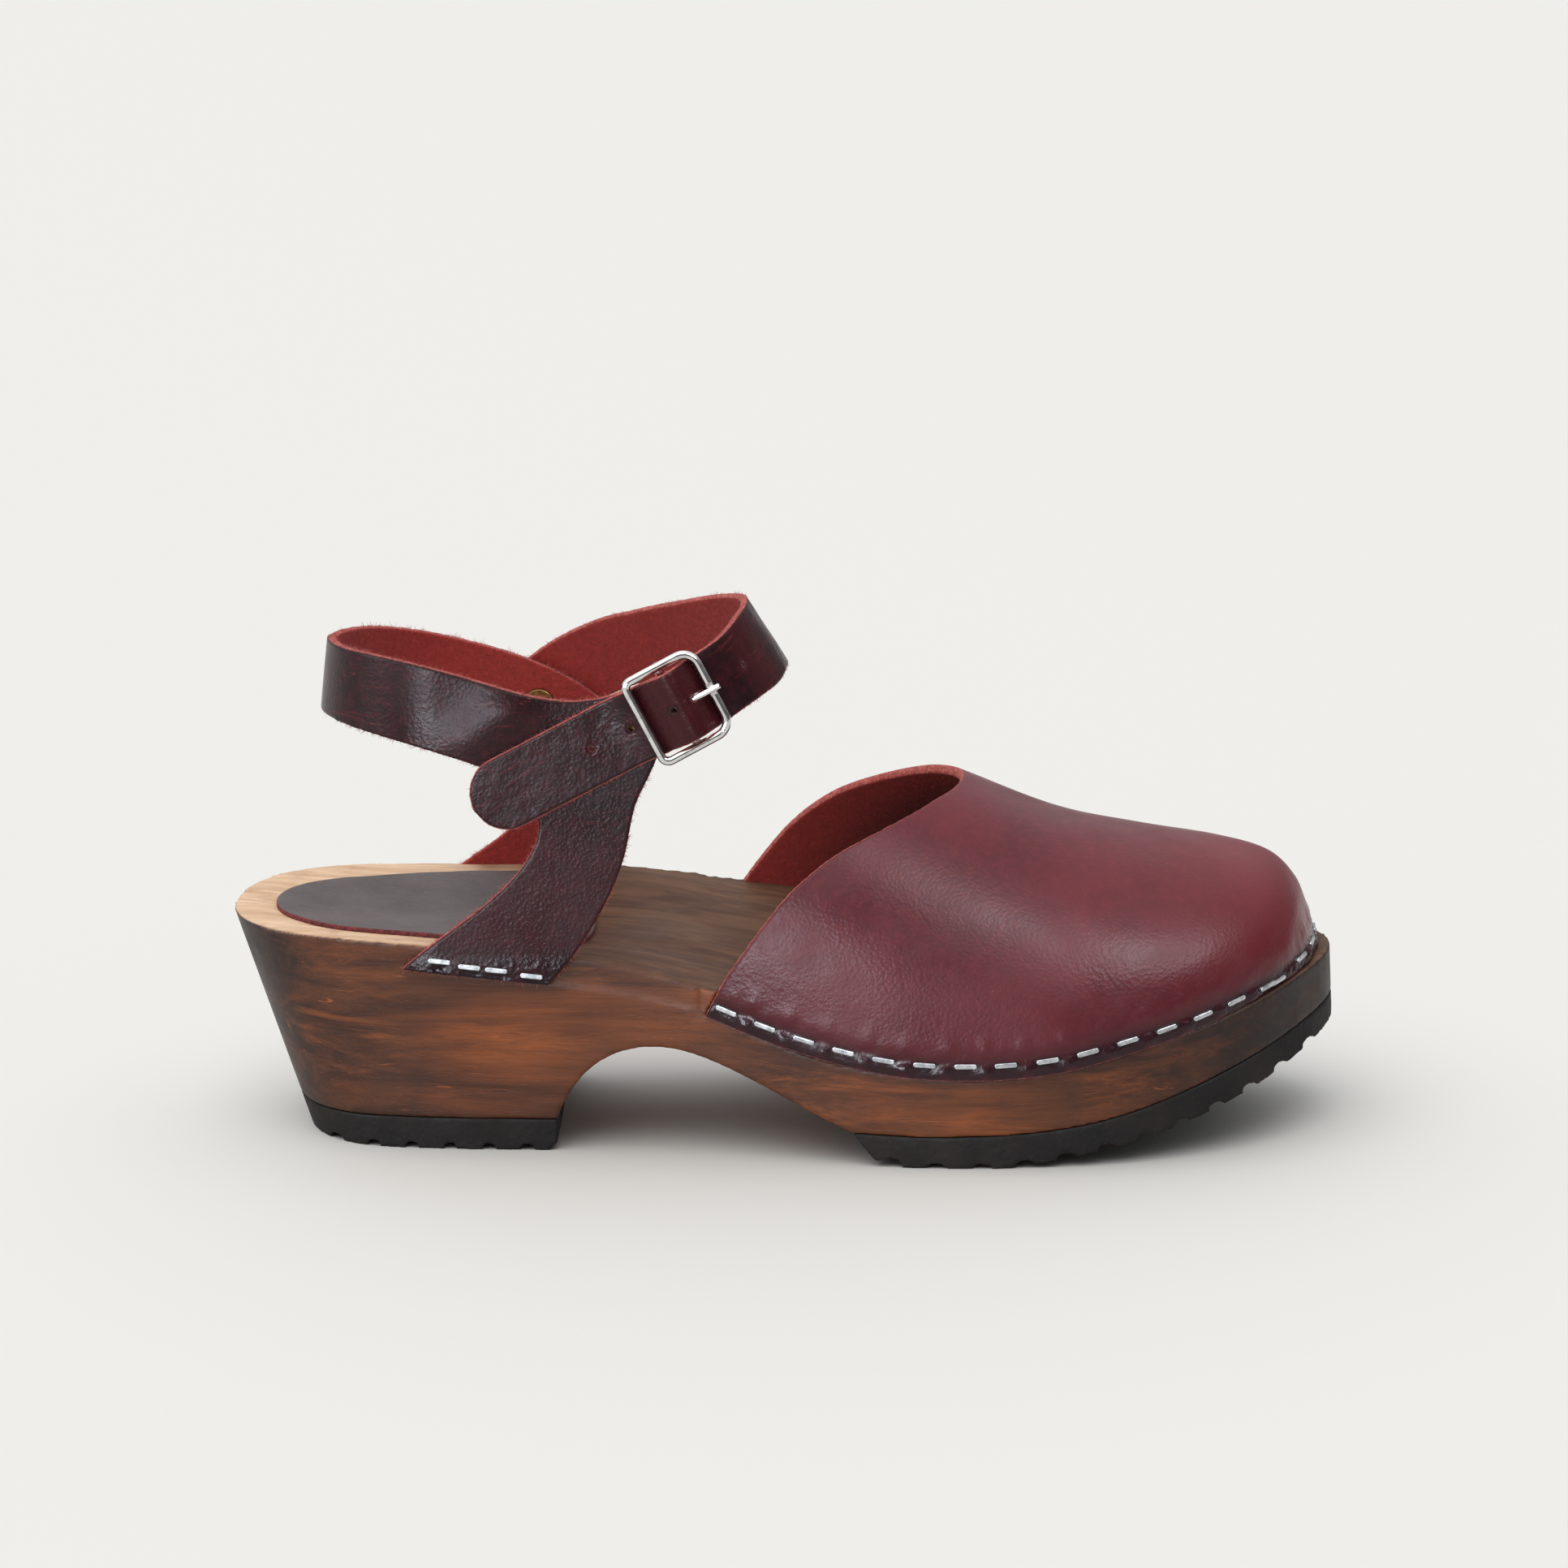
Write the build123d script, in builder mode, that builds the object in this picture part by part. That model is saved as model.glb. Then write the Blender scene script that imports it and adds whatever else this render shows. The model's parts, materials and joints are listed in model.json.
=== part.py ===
"""Wooden clog with a stapled leather front and a buckled ankle strap, right foot, millimetres.

+X points to the toe, +Z up, -Y to the outer side of the foot, where the buckle is.
The origin is on the ground, below the middle of the object.
"""
import os
from math import atan2, cos, pi, radians, sin

from build123d import *

# Driving dimensions: leather
VAMP_THICK = 2.3
HEEL_STRAP_THICK = 2.2
STRAP_THICK = 1.9
STRAP_WIDTH = 16.2          # at the buckle and along the tail
STRAP_WIDTH_INSTEP = 17.8   # over the instep and at the riveted end
PAD_THICK = 1.3

# Driving dimensions: sole
BLOCK_TOP = 52.0            # height of the upper sole outline
HEEL_LIFT = 7.6             # rubber under the heel
HEEL_BREAST_X = -52.2
FOREFOOT_START_X = 15.4
FEATHER_X = -19.5           # back end of the rebate for the leather front
CUP_DEPTH = 4.5

# Driving dimensions: fittings
STAPLE_LENGTH = 5.2
STAPLE_WIRE = 1.2
STAPLE_CROWN = 0.7
STAPLE_LEG = 7.0
STAPLE_PITCH = 9.3
STAPLE_ABOVE_EDGE = 3.3
BAR_R = 1.0                 # wire of the buckle frame
BAR_SPAN = 17.0             # outer bar to outer bar, along the strap
FRAME_WIDTH = 20.2          # side rod to side rod, across the strap
FRAME_RISE = 1.6            # outer frame stands above the centre bar
PRONG_R = 0.75
RUN_CLEAR = 0.06            # radial clearance of a turning fit
GAP = 0.35                  # air between bodies that move past each other
RIVET_POST_R = 1.25
RIVET_HEAD_R = 3.6
RIVET_HEAD_T = 0.9

# Place of the buckle's centre bar and the slope of the strap through it
BUCKLE = Vector(-24.1, -31.7, 105.4)
OUTWARD = Vector(0.09, -1.0, 0.10).normalized()
STRAP_SLOPE = radians(27.5)
rise_y = (OUTWARD.X * cos(STRAP_SLOPE) + OUTWARD.Z * sin(STRAP_SLOPE)) / -OUTWARD.Y
ALONG = Vector(cos(STRAP_SLOPE), rise_y, sin(STRAP_SLOPE)).normalized()
ACROSS = OUTWARD.cross(ALONG)

# Heel strap wall: a U in plan that leans inwards as it rises
WALL_HALF = 35.5            # half width of the U at WALL_Z
WALL_Z = 44.0
WALL_LEAN = 0.11
WALL_BACK_X = -78.0         # centre of the round back of the U
WALL_FRONT_X = -8.0

# Rivet on the inner side
RIVET_X, RIVET_Z = -58.9, 92.7
STRAP_END_SLOPE = radians(40)


def smooth(t, knots):
    """Value at t on a smooth curve through (t, value) knots."""
    t = min(max(t, knots[0][0]), knots[-1][0])
    i = max(n for n in range(len(knots) - 1) if knots[n][0] <= t)
    slopes = []
    for n in (i, i + 1):
        a, b = knots[max(n - 1, 0)], knots[min(n + 1, len(knots) - 1)]
        slopes.append((b[1] - a[1]) / (b[0] - a[0]))
    (t0, v0), (t1, v1) = knots[i], knots[i + 1]
    h = t1 - t0
    u = (t - t0) / h
    return (v0 * (2 * u**3 - 3 * u**2 + 1) + v1 * (3 * u**2 - 2 * u**3)
            + slopes[0] * h * (u**3 - 2 * u**2 + u) + slopes[1] * h * (u**3 - u**2))


def glide(rows, t):
    """Every column of a list of rows, read at the fractional row t."""
    return [smooth(t, [(n, row[c]) for n, row in enumerate(rows)]) for c in range(len(rows[0]))]


def sheet_solid(outer, inner):
    """Closed solid between two equal grids of points."""
    skins = [Face.make_surface_from_array_of_points(g, tol=0.02, min_deg=3, max_deg=3)
             for g in (outer, inner)]
    rims = [skin.edges() for skin in skins]
    faces = list(skins)
    for edge in rims[0]:
        mate = min(rims[1], key=lambda e: (e.center() - edge.center()).length)
        faces.append(Face.make_surface_from_curves(edge, mate))
    return Solid(Shell(faces))


# ---------------------------------------------------------------- sole outline
# (x, y) at BLOCK_TOP and (x, y) at the ground, from the heel's back round the outer side
SOLE_OUTLINE = [
    (-128.6, 0, -111.3, 0), (-126.8, -12.5, -110.2, -11.5), (-120.5, -22.5, -105.3, -20.5),
    (-110, -29, -97.5, -26), (-95, -32.5, -85, -28.5), (-75, -34, -68, -29.6),
    (-52, -34.3, -50, -30), (-30, -34.6, -30, -32), (-8, -38.6, -8, -36.5),
    (14, -42.8, 14, -40.5), (36, -44.8, 36, -42.5), (56, -44.2, 56, -42),
    (76, -41.2, 76, -39.2), (94, -34.6, 94, -33), (109, -24.8, 110, -23.8),
    (120.5, -11.5, 122.3, -11), (126.4, 1, 129, 1), (126.6, 12, 129.4, 12),
    (122.4, 23.5, 124.4, 23), (112.5, 32.8, 113.5, 31.6), (96, 39.6, 96, 38),
    (76, 44.1, 76, 42), (54, 46, 54, 43.6), (32, 44.4, 32, 42), (10, 40, 10, 38),
    (-15, 35.4, -15, 33.2), (-42, 33.5, -42, 30), (-72, 33.8, -68, 29.6),
    (-95, 32.5, -85, 28.5), (-110, 29, -97.5, 26), (-120.5, 22.5, -105.3, 20.5),
    (-126.8, 12.5, -110.2, 11.5),
]
# Height of the footbed's edge along X, outer and inner side
RIM_OUTER = [(-140, 51.3), (-112, 51.3), (-95, 50.7), (-67, 48.7), (-41, 46), (-16, 39.9),
             (10, 33), (25, 30.3), (45, 28.8), (62, 30.5), (80, 34), (100, 39.6), (115, 43),
             (140, 46)]
RIM_INNER = [(-140, 51.8), (-112, 52.2), (-80, 51.8), (-52, 52), (-37, 51.7), (-10, 48.2),
             (4, 46), (20, 40.5), (40, 34.5), (60, 32.5), (80, 34.8), (100, 39.6), (115, 43),
             (140, 46)]
HALF_WIDTH = [(-140, 32), (-95, 32.5), (-52, 34), (-15, 36.5), (14, 41.5), (45, 45.3),
              (76, 42.7), (96, 37), (112, 30), (140, 26)]
DISH = [(-140, CUP_DEPTH), (-60, CUP_DEPTH), (-20, 3.5), (40, 3), (140, 1.5)]
HEEL_ROLL_X = -95           # behind this the dish runs out towards the heel's back
HEEL_ROLL = 33


def footbed_z(x, y):
    """Height of the dished footbed."""
    outer, inner, half = smooth(x, RIM_OUTER), smooth(x, RIM_INNER), smooth(x, HALF_WIDTH)
    level = (outer + inner) / 2 + (inner - outer) / 2 * max(-1.2, min(1.2, y / half))
    r2 = (y / half) ** 2 + (min(0, x - HEEL_ROLL_X) / HEEL_ROLL) ** 2
    return level - smooth(x, DISH) * max(0, 1 - r2) ** 2


# Feather line: lower edge of the leather front, seen from the side
FEATHER = [(FEATHER_X, 34.8), (-4.9, 29.7), (6.2, 25.9), (19, 23.3), (33.7, 21.8), (48.4, 21.6),
           (61.2, 23.1), (74.1, 25.8), (87.1, 29), (100.5, 32.7), (112.4, 36.4), (124, 39.7),
           (134, 42.5)]
# Wood left standing inside the leather front
FOREFOOT_CORE = [(-30, -32), (0, -37.7), (22, -41), (42, -42), (61, -41), (76, -38.2),
                 (90, -33.8), (101, -27.6), (110.5, -19), (118, -8.5), (121.6, 0), (122.6, 8.5),
                 (120.6, 17), (114.5, 25), (103, 32.4), (90, 37.7), (76, 41), (61, 43),
                 (42, 42), (22, 39.2), (0, 35.2), (-30, 32)]

with BuildPart() as sole_block:
    with BuildSketch(Plane.XY):
        with BuildLine():
            Spline(*[(row[2], row[3]) for row in SOLE_OUTLINE], periodic=True)
        make_face()
    with BuildSketch(Plane.XY.offset(BLOCK_TOP + 6)):
        with BuildLine():
            grow = (BLOCK_TOP + 6) / BLOCK_TOP
            Spline(*[(row[2] + (row[0] - row[2]) * grow, row[3] + (row[1] - row[3]) * grow)
                     for row in SOLE_OUTLINE], periodic=True)
        make_face()
    loft(ruled=True)

footbed_face = Face.make_surface_from_array_of_points(
    [[Vector(x, y, footbed_z(x, y)) for y in range(-56, 57, 7)] for x in range(-140, 141, 7)],
    tol=0.02, min_deg=3, max_deg=3)

with BuildPart() as wooden_sole:
    add(sole_block.part)
    with BuildSketch(Plane.XZ):
        with BuildLine():
            Polyline((-140, 70), (-140, HEEL_LIFT), (HEEL_BREAST_X, HEEL_LIFT))
            Spline((HEEL_BREAST_X, HEEL_LIFT), (-49.6, 13.6), (-41.2, 22.7), (-29.1, 25.9),
                   (-12.4, 21.5), (4, 13.4), (FOREFOOT_START_X, 7.9))
            Spline((FOREFOOT_START_X, 7.9), (43, 7.6), (72.7, 10.8), (102.9, 20.2), (140, 33))
            Polyline((140, 33), (140, 70), (-140, 70))
        make_face()
    extrude(amount=60, both=True, mode=Mode.INTERSECT)
    # headroom over the footbed
    extrude(footbed_face, amount=60, dir=(0, 0, 1), mode=Mode.SUBTRACT)

with BuildPart() as forefoot_rebate:
    with BuildSketch(Plane.XZ):
        with BuildLine():
            Spline(*FEATHER)
            Polyline(FEATHER[-1], (134, 70), (FEATHER_X, 70), FEATHER[0])
        make_face()
    extrude(amount=60, both=True)
    with BuildSketch(Plane.XY):
        with BuildLine():
            Spline(*FOREFOOT_CORE)
            Line(FOREFOOT_CORE[-1], FOREFOOT_CORE[0])
        make_face()
    extrude(amount=80, mode=Mode.SUBTRACT)

with BuildPart() as tab_rebate:
    with BuildSketch(Plane.XZ):
        with BuildLine():
            Spline((-92, 45.5), (-70, 42.5), (-53.7, 40.8), (-36, 38.4), (FEATHER_X, 34.8))
            Polyline((FEATHER_X, 34.8), (FEATHER_X, 70), (-92, 70), (-92, 45.5))
        make_face()
    extrude(amount=60, both=True)
    with BuildSketch(Plane.XY):
        with BuildLine():
            Polyline((FEATHER_X + 1, 0), (FEATHER_X + 1, 34.2))
            Spline((FEATHER_X + 1, 34.2), (-40, 32.5), (-66, 32.9), (-80, 33.1), (-93, 36))
            Polyline((-93, 36), (-93, -36))
            Spline((-93, -36), (-80, -33.1), (-66, -33.1), (-40, -33.3), (FEATHER_X + 1, -35.4))
            Line((FEATHER_X + 1, -35.4), (FEATHER_X + 1, 0))
        make_face()
    extrude(amount=80, mode=Mode.SUBTRACT)

with wooden_sole:
    add(forefoot_rebate.part, mode=Mode.SUBTRACT)
    add(tab_rebate.part, mode=Mode.SUBTRACT)
wooden_sole.part.label = "wooden_sole"

# ---------------------------------------------------------------- treads and heel pad
GROOVE_DEPTH = 1.3
HEEL_GROOVE_PITCH = 8.9
BALL_GROOVE_PITCH = 10.7
TOE_GROOVE_PITCH = 7.0
# Walking face of the forefoot tread, seen from the side
TREAD_FACE = [(20.5, 1.6), (29, 0), (50, 0), (67.4, 2.6), (84.3, 6.3), (99.5, 11.2),
              (115.3, 17.6), (124.5, 21.8), (140, 29)]

with BuildPart() as heel_tread:
    add(sole_block.part)
    with BuildSketch(Plane.XZ):
        with BuildLine():
            Polyline((-140, 0), (HEEL_BREAST_X - 2, 0), (HEEL_BREAST_X, 2),
                     (HEEL_BREAST_X, HEEL_LIFT), (-140, HEEL_LIFT), (-140, 0))
        make_face()
    extrude(amount=60, both=True, mode=Mode.INTERSECT)
    for n in range(6):
        with BuildSketch(Plane.XZ):
            with Locations((HEEL_BREAST_X - 7 - n * HEEL_GROOVE_PITCH, 0)):
                RectangleRounded(2.7, 2 * GROOVE_DEPTH, 0.5)
        extrude(amount=60, both=True, mode=Mode.SUBTRACT)
heel_tread.part.label = "heel_tread"

with BuildPart() as forefoot_tread:
    add(sole_block.part)
    with BuildSketch(Plane.XZ):
        with BuildLine():
            Spline((FOREFOOT_START_X, 7.9), (43, 7.6), (72.7, 10.8), (102.9, 20.2), (140, 33))
            Line((140, 33), TREAD_FACE[-1])
            Spline(*TREAD_FACE)
            Line(TREAD_FACE[0], (FOREFOOT_START_X, 7.9))
        make_face()
    extrude(amount=60, both=True, mode=Mode.INTERSECT)
    groove_x = 24.0
    while groove_x < 122:
        share = (groove_x - 24) / 98
        groove_w = 5.4 - 2 * share
        with BuildSketch(Plane.XZ):
            with Locations((groove_x, smooth(groove_x, TREAD_FACE))):
                Ellipse(groove_w / 2, GROOVE_DEPTH)
        extrude(amount=60, both=True, mode=Mode.SUBTRACT)
        groove_x += BALL_GROOVE_PITCH + (TOE_GROOVE_PITCH - BALL_GROOVE_PITCH) * share
forefoot_tread.part.label = "forefoot_tread"

with BuildPart() as heel_pad:
    extrude(footbed_face, amount=PAD_THICK, dir=(0, 0, 1))
    with BuildSketch(Plane.XY):
        with BuildLine():
            Spline((-119, 0), (-116, -10.5), (-107, -18.5), (-93, -22.8), (-73, -25.5),
                   (-55, -24.3), (-47, -18), (-44.5, 0), (-47, 18), (-55, 24.3),
                   (-73, 25.5), (-93, 22.8), (-107, 18.5), (-116, 10.5), periodic=True)
        make_face()
    extrude(amount=80, mode=Mode.INTERSECT)
heel_pad.part.label = "heel_pad"

# ---------------------------------------------------------------- leather front
# One row per rib of the leather front, from the ankle to the toe: crown x, y, z, outer foot
# x, y, z, inner foot x, y, z, and how far the ribs lean in at their feet
VAMP_RIBS = [
    (-22, 3, 104, -22, -35.6, 35.8, -22, 34.8, 35.8, 0),
    (0, 4, 97, 0, -40.0, 27.9, 0, 37.6, 27.9, 0),
    (22, 5, 88.5, 22, -43.4, 22.8, 22, 42.2, 22.8, 0),
    (41.7, 6, 80.7, 41.7, -44.4, 21.6, 41.7, 45.0, 21.6, 0),
    (62.7, 6.5, 72.2, 60, -43.7, 22.9, 60, 45.5, 22.9, 0),
    (82, 7, 68.0, 76, -40.9, 26.3, 77, 43.7, 26.5, 0),
    (100.8, 7.5, 64.9, 90, -36.0, 29.8, 92, 40.0, 30.4, 0.05),
    (113, 8, 61.3, 100.5, -30.2, 32.8, 103, 35.8, 33.6, 0.15),
    (119.6, 8.3, 55.0, 107, -25.4, 34.8, 110, 31.4, 35.7, 0.35),
    (122.6, 8.5, 47.5, 110, -22.6, 35.7, 113.2, 28.9, 36.7, 0.65),
    (125, 8.7, 40.0, 112.3, -20.0, 36.4, 115.7, 26.4, 37.4, 1.0),
]
FOOT_FULLNESS = 0.60
CROWN_FULLNESS = 0.58
FOOT_LEAN = 0.35
RIB_STEPS, CROSS_STEPS = 40, 32


def vamp_point(k, v):
    """Outer surface of the leather front: k from ankle to toe, v from outer to inner foot."""
    row = glide(VAMP_RIBS, k * (len(VAMP_RIBS) - 1))
    crown, outer, inner, lean = Vector(*row[0:3]), Vector(*row[3:6]), Vector(*row[6:9]), row[9]
    share = (crown.Y - outer.Y) / (inner.Y - outer.Y)
    base = outer + (inner - outer) * share
    foot = outer if v < 0.5 else inner
    t = 2 * v if v < 0.5 else 2 - 2 * v
    rise = crown - base
    inward = Vector(0, (crown.Y - foot.Y) * FOOT_LEAN * lean, 0)
    hold_foot = foot + (rise + inward) * FOOT_FULLNESS
    hold_crown = crown + (foot - base) * CROWN_FULLNESS
    return (foot * (1 - t) ** 3 + hold_foot * (3 * t * (1 - t) ** 2)
            + hold_crown * (3 * t * t * (1 - t)) + crown * t**3)


def vamp_normal(k, v):
    """Outward normal of the leather front."""
    d = 1e-3
    k0, k1, v0, v1 = max(k - d, 0), min(k + d, 1), max(v - d, 0), min(v + d, 1)
    along = vamp_point(k1, v) - vamp_point(k0, v)
    across = vamp_point(k, v1) - vamp_point(k, v0)
    return across.cross(along).normalized() * -1


vamp_grid = [(i / RIB_STEPS, j / CROSS_STEPS)
             for i in range(RIB_STEPS + 1) for j in range(CROSS_STEPS + 1)]
vamp_outer = [vamp_point(k, v) for k, v in vamp_grid]
vamp_inner = [p - vamp_normal(k, v) * VAMP_THICK for p, (k, v) in zip(vamp_outer, vamp_grid)]


def rows_of(points, width):
    """A flat list of points as rows of the given width."""
    return [points[n:n + width] for n in range(0, len(points), width)]


# Topline of the leather front, seen from the side
TOPLINE = [(-17.8, 34.1), (-12.2, 44.6), (-1.2, 59.7), (6.1, 66.7), (15.2, 72.3),
           (33.9, 79.2), (41.9, 80.9)]

with BuildPart() as vamp:
    add(sheet_solid(rows_of(vamp_outer, CROSS_STEPS + 1), rows_of(vamp_inner, CROSS_STEPS + 1)))
    with BuildSketch(Plane.XZ):
        with BuildLine():
            Polyline((-18.6, 32), (-60, 32), (-60, 130), (45, 130), (45, 82))
            Line((45, 82), TOPLINE[-1])
            Spline(*TOPLINE)
            Line(TOPLINE[0], (-18.6, 32))
        make_face()
    extrude(amount=60, both=True, mode=Mode.SUBTRACT)
vamp.part.label = "vamp"

# ---------------------------------------------------------------- heel strap
def wall_half(z):
    """Half width of the heel strap's wall at a height, to its outer surface."""
    return WALL_HALF - WALL_LEAN * (z - WALL_Z)


def wall_point(u, z, inset):
    """Wall of the heel strap: u from 0 at the outer front, round the heel, to 1 at the inner."""
    half = wall_half(z) - inset
    straight = WALL_FRONT_X - WALL_BACK_X
    arc = pi * WALL_HALF
    run = u * (2 * straight + arc)
    if run <= straight:
        return Vector(WALL_FRONT_X - run, -half, z)
    if run >= straight + arc:
        return Vector(WALL_BACK_X + run - straight - arc, half, z)
    turn = (run - straight) / WALL_HALF
    return Vector(WALL_BACK_X - half * sin(turn), -half * cos(turn), z)


def wall_grid(inset):
    return [[wall_point(i / 60, 36 + j * 12, inset) for j in range(8)] for i in range(61)]


# Outlines seen from the side: the band round the heel, the tab down to the sole, the arm
ARM_END_S = -9.0            # along the strap from the centre bar, where the fold begins
ARM_HALF = 8.0
arm_top = BUCKLE + ALONG * ARM_END_S + ACROSS * ARM_HALF
arm_low = BUCKLE + ALONG * ARM_END_S - ACROSS * ARM_HALF
BAND_TOP = [(-115, 114.8), (-104.4, 115), (-92.9, 115), (-79.8, 112.9), (-65.2, 108.8),
            (-50.6, 105.7), (-43, 106), (arm_top.X, arm_top.Z)]
TAB_FRONT = [(arm_low.X, arm_low.Z), (-30.8, 88.5), (-33.6, 82.5), (-35.9, 72), (-40.7, 59.6),
             (-48.1, 47.6), (-53.7, 41.1)]
TAB_BACK = [(-86.9, 44.4), (-77.5, 52.1), (-65.5, 61.4), (-57.7, 70.6), (-55.6, 77.5),
            (-59, 85), (-70.2, 91.2), (-85.5, 95.7), (-103.3, 98.3), (-115, 98.4)]
INNER_BAND_TOP = [(-115, 114.8), (-103.8, 114), (-86.3, 110.3), (-63.5, 104), (-50.1, 97.6),
                  (-42.5, 91.5), (-37.5, 82.5)]
INNER_TAB_FRONT = [(-37.5, 82.5), (-36.2, 72), (-40.7, 59.6), (-48.1, 47.6), (-53.7, 41.1)]

buckle_plane = Plane(BUCKLE, x_dir=ALONG, z_dir=ALONG.cross(OUTWARD))   # x along, y outward
strap_plane = Plane(BUCKLE, x_dir=ALONG, z_dir=OUTWARD)                 # x along, y across
FOLD_R = BAR_R + RUN_CLEAR + 1.3
FOLD_RIVET_S = -14.5
FOLD_RIVET_N = -4.1         # outer surface of the arm there, outward of the centre bar
FOLD_STACK = 3.9            # arm and its folded-back end together
PRONG_SLOT_HALF = PRONG_R + 0.55
rivet_normal = Vector(0, 1, WALL_LEAN).normalized()
rivet_plane = Plane(Vector(RIVET_X, wall_half(RIVET_Z), RIVET_Z), x_dir=(1, 0, 0),
                    z_dir=rivet_normal)
fold_rivet_plane = Plane(BUCKLE + ALONG * FOLD_RIVET_S + OUTWARD * FOLD_RIVET_N, x_dir=ALONG,
                         z_dir=OUTWARD)

with BuildPart() as outer_half:
    with BuildSketch(Plane.XZ):
        with BuildLine():
            Spline(*BAND_TOP)
            Line(BAND_TOP[-1], TAB_FRONT[0])
            Spline(*TAB_FRONT)
            Line(TAB_FRONT[-1], TAB_BACK[0])
            Spline(*TAB_BACK)
            Line(TAB_BACK[-1], BAND_TOP[0])
        make_face()
    extrude(amount=50)

with BuildPart() as inner_half:
    with BuildSketch(Plane.XZ):
        with BuildLine():
            Spline(*INNER_BAND_TOP)
            Spline(*INNER_TAB_FRONT)
            Line(INNER_TAB_FRONT[-1], TAB_BACK[0])
            Spline(*TAB_BACK)
            Line(TAB_BACK[-1], INNER_BAND_TOP[0])
        make_face()
    extrude(amount=-50)
    add(outer_half.part)

with BuildPart() as fold:
    with BuildSketch(buckle_plane):
        with BuildLine():
            Spline((-13.5, -4.6), (-8.5, -2.7), (-4.25, -0.7),
                   (FOLD_R * cos(radians(115)), FOLD_R * sin(radians(115))))
            ThreePointArc((FOLD_R * cos(radians(115)), FOLD_R * sin(radians(115))), (FOLD_R, 0),
                          (FOLD_R * cos(radians(250)), FOLD_R * sin(radians(250))))
            Spline((FOLD_R * cos(radians(250)), FOLD_R * sin(radians(250))), (-5, -4.3),
                   (-9, -6.3), (-14, -7.9), (-20.5, -8.3))
            Polyline((-20.5, -8.3), (-20.5, -5.6), (-13.5, -4.6))
        make_face()
        Circle(BAR_R + RUN_CLEAR, mode=Mode.SUBTRACT)
    extrude(amount=ARM_HALF, both=True)

with BuildPart() as heel_strap:
    add(sheet_solid(wall_grid(0), wall_grid(HEEL_STRAP_THICK)))
    add(inner_half.part, mode=Mode.INTERSECT)
    add(fold.part)
    with BuildSketch(strap_plane):
        Rectangle(6.4, 2 * PRONG_SLOT_HALF)
    extrude(amount=4, both=True, mode=Mode.SUBTRACT)
    with BuildSketch(rivet_plane):
        Circle(RIVET_POST_R)
    extrude(amount=6, both=True, mode=Mode.SUBTRACT)
    with BuildSketch(fold_rivet_plane):
        Circle(RIVET_POST_R)
    extrude(amount=6, both=True, mode=Mode.SUBTRACT)
    with BuildSketch(fold_rivet_plane.offset(-RIVET_HEAD_T)):
        Circle(RIVET_HEAD_R)
    extrude(amount=3, mode=Mode.SUBTRACT)
    with BuildSketch(fold_rivet_plane.offset(-FOLD_STACK)):
        Circle(RIVET_HEAD_R)
    extrude(amount=-3, mode=Mode.SUBTRACT)
heel_strap.part.label = "heel_strap"

# ---------------------------------------------------------------- ankle strap
strap_plane_gap = GAP + STRAP_THICK / 2
rivet_along = Vector(cos(STRAP_END_SLOPE), -WALL_LEAN * sin(STRAP_END_SLOPE),
                     sin(STRAP_END_SLOPE)).normalized()
rivet_across = rivet_along.cross(rivet_normal)
rivet_middle = rivet_plane.origin + rivet_normal * strap_plane_gap
STRAP_END = 9.5             # leather beyond the rivet
TAIL_S = -52.0              # tip of the tail, along the strap from the centre bar


def station(centre, across, width):
    return (*centre, *across, width)


def riveted(s):
    """Station on the flat end of the strap at the rivet."""
    return station(rivet_middle + rivet_along * s, rivet_across, STRAP_WIDTH_INSTEP)


def buckled(s, n):
    """Station in the buckle: s along the strap, n outward from the centre bar."""
    return station(BUCKLE + ALONG * s + OUTWARD * n, ACROSS, STRAP_WIDTH)


def tail(s):
    """Station on the tail, which lies along the heel strap."""
    middle = BUCKLE + ALONG * s
    y = -wall_half(middle.Z) - strap_plane_gap
    across = Vector(ACROSS.X, ACROSS.Z * WALL_LEAN, ACROSS.Z).normalized()
    return station(Vector(middle.X, y, middle.Z), across, STRAP_WIDTH)


# Instep loop from the rivet to the buckle: middle of the strap and its upward direction
INSTEP = [
    station((-42.3, 28.9, 104.0), (-0.47, -0.14, 0.87), STRAP_WIDTH_INSTEP),
    station((-31.8, 25.6, 107.6), (-0.52, -0.14, 0.84), STRAP_WIDTH_INSTEP),
    station((-21.4, 20.2, 110.8), (-0.54, -0.10, 0.83), STRAP_WIDTH_INSTEP),
    station((-12.0, 12.4, 113.9), (-0.54, -0.05, 0.84), STRAP_WIDTH_INSTEP),
    station((-5.9, 3.0, 115.8), (-0.54, 0, 0.84), STRAP_WIDTH_INSTEP),
    station((-5.1, -6.5, 115.9), (-0.51, 0, 0.86), STRAP_WIDTH_INSTEP),
    station((-7.2, -15.5, 114.3), (-0.47, 0, 0.88), STRAP_WIDTH_INSTEP),
    station((-11.3, -23.4, 111.9), (-0.46, 0.03, 0.88), STRAP_WIDTH),
]
STRAP_STATIONS = (
    [riveted(-STRAP_END), riveted(0), riveted(9)] + INSTEP
    + [buckled(8.5, -1.15), buckled(6.7, -0.6), buckled(4.3, 1.7), buckled(1.4, 4.4),
       buckled(-1.2, 3.8), buckled(-4.25, 1.1), buckled(-8.5, -1.3)]
    + [tail(s) for s in (-15, -24, -33, -42, TAIL_S)])
STRAP_STEPS = 6             # rows between stations


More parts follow.
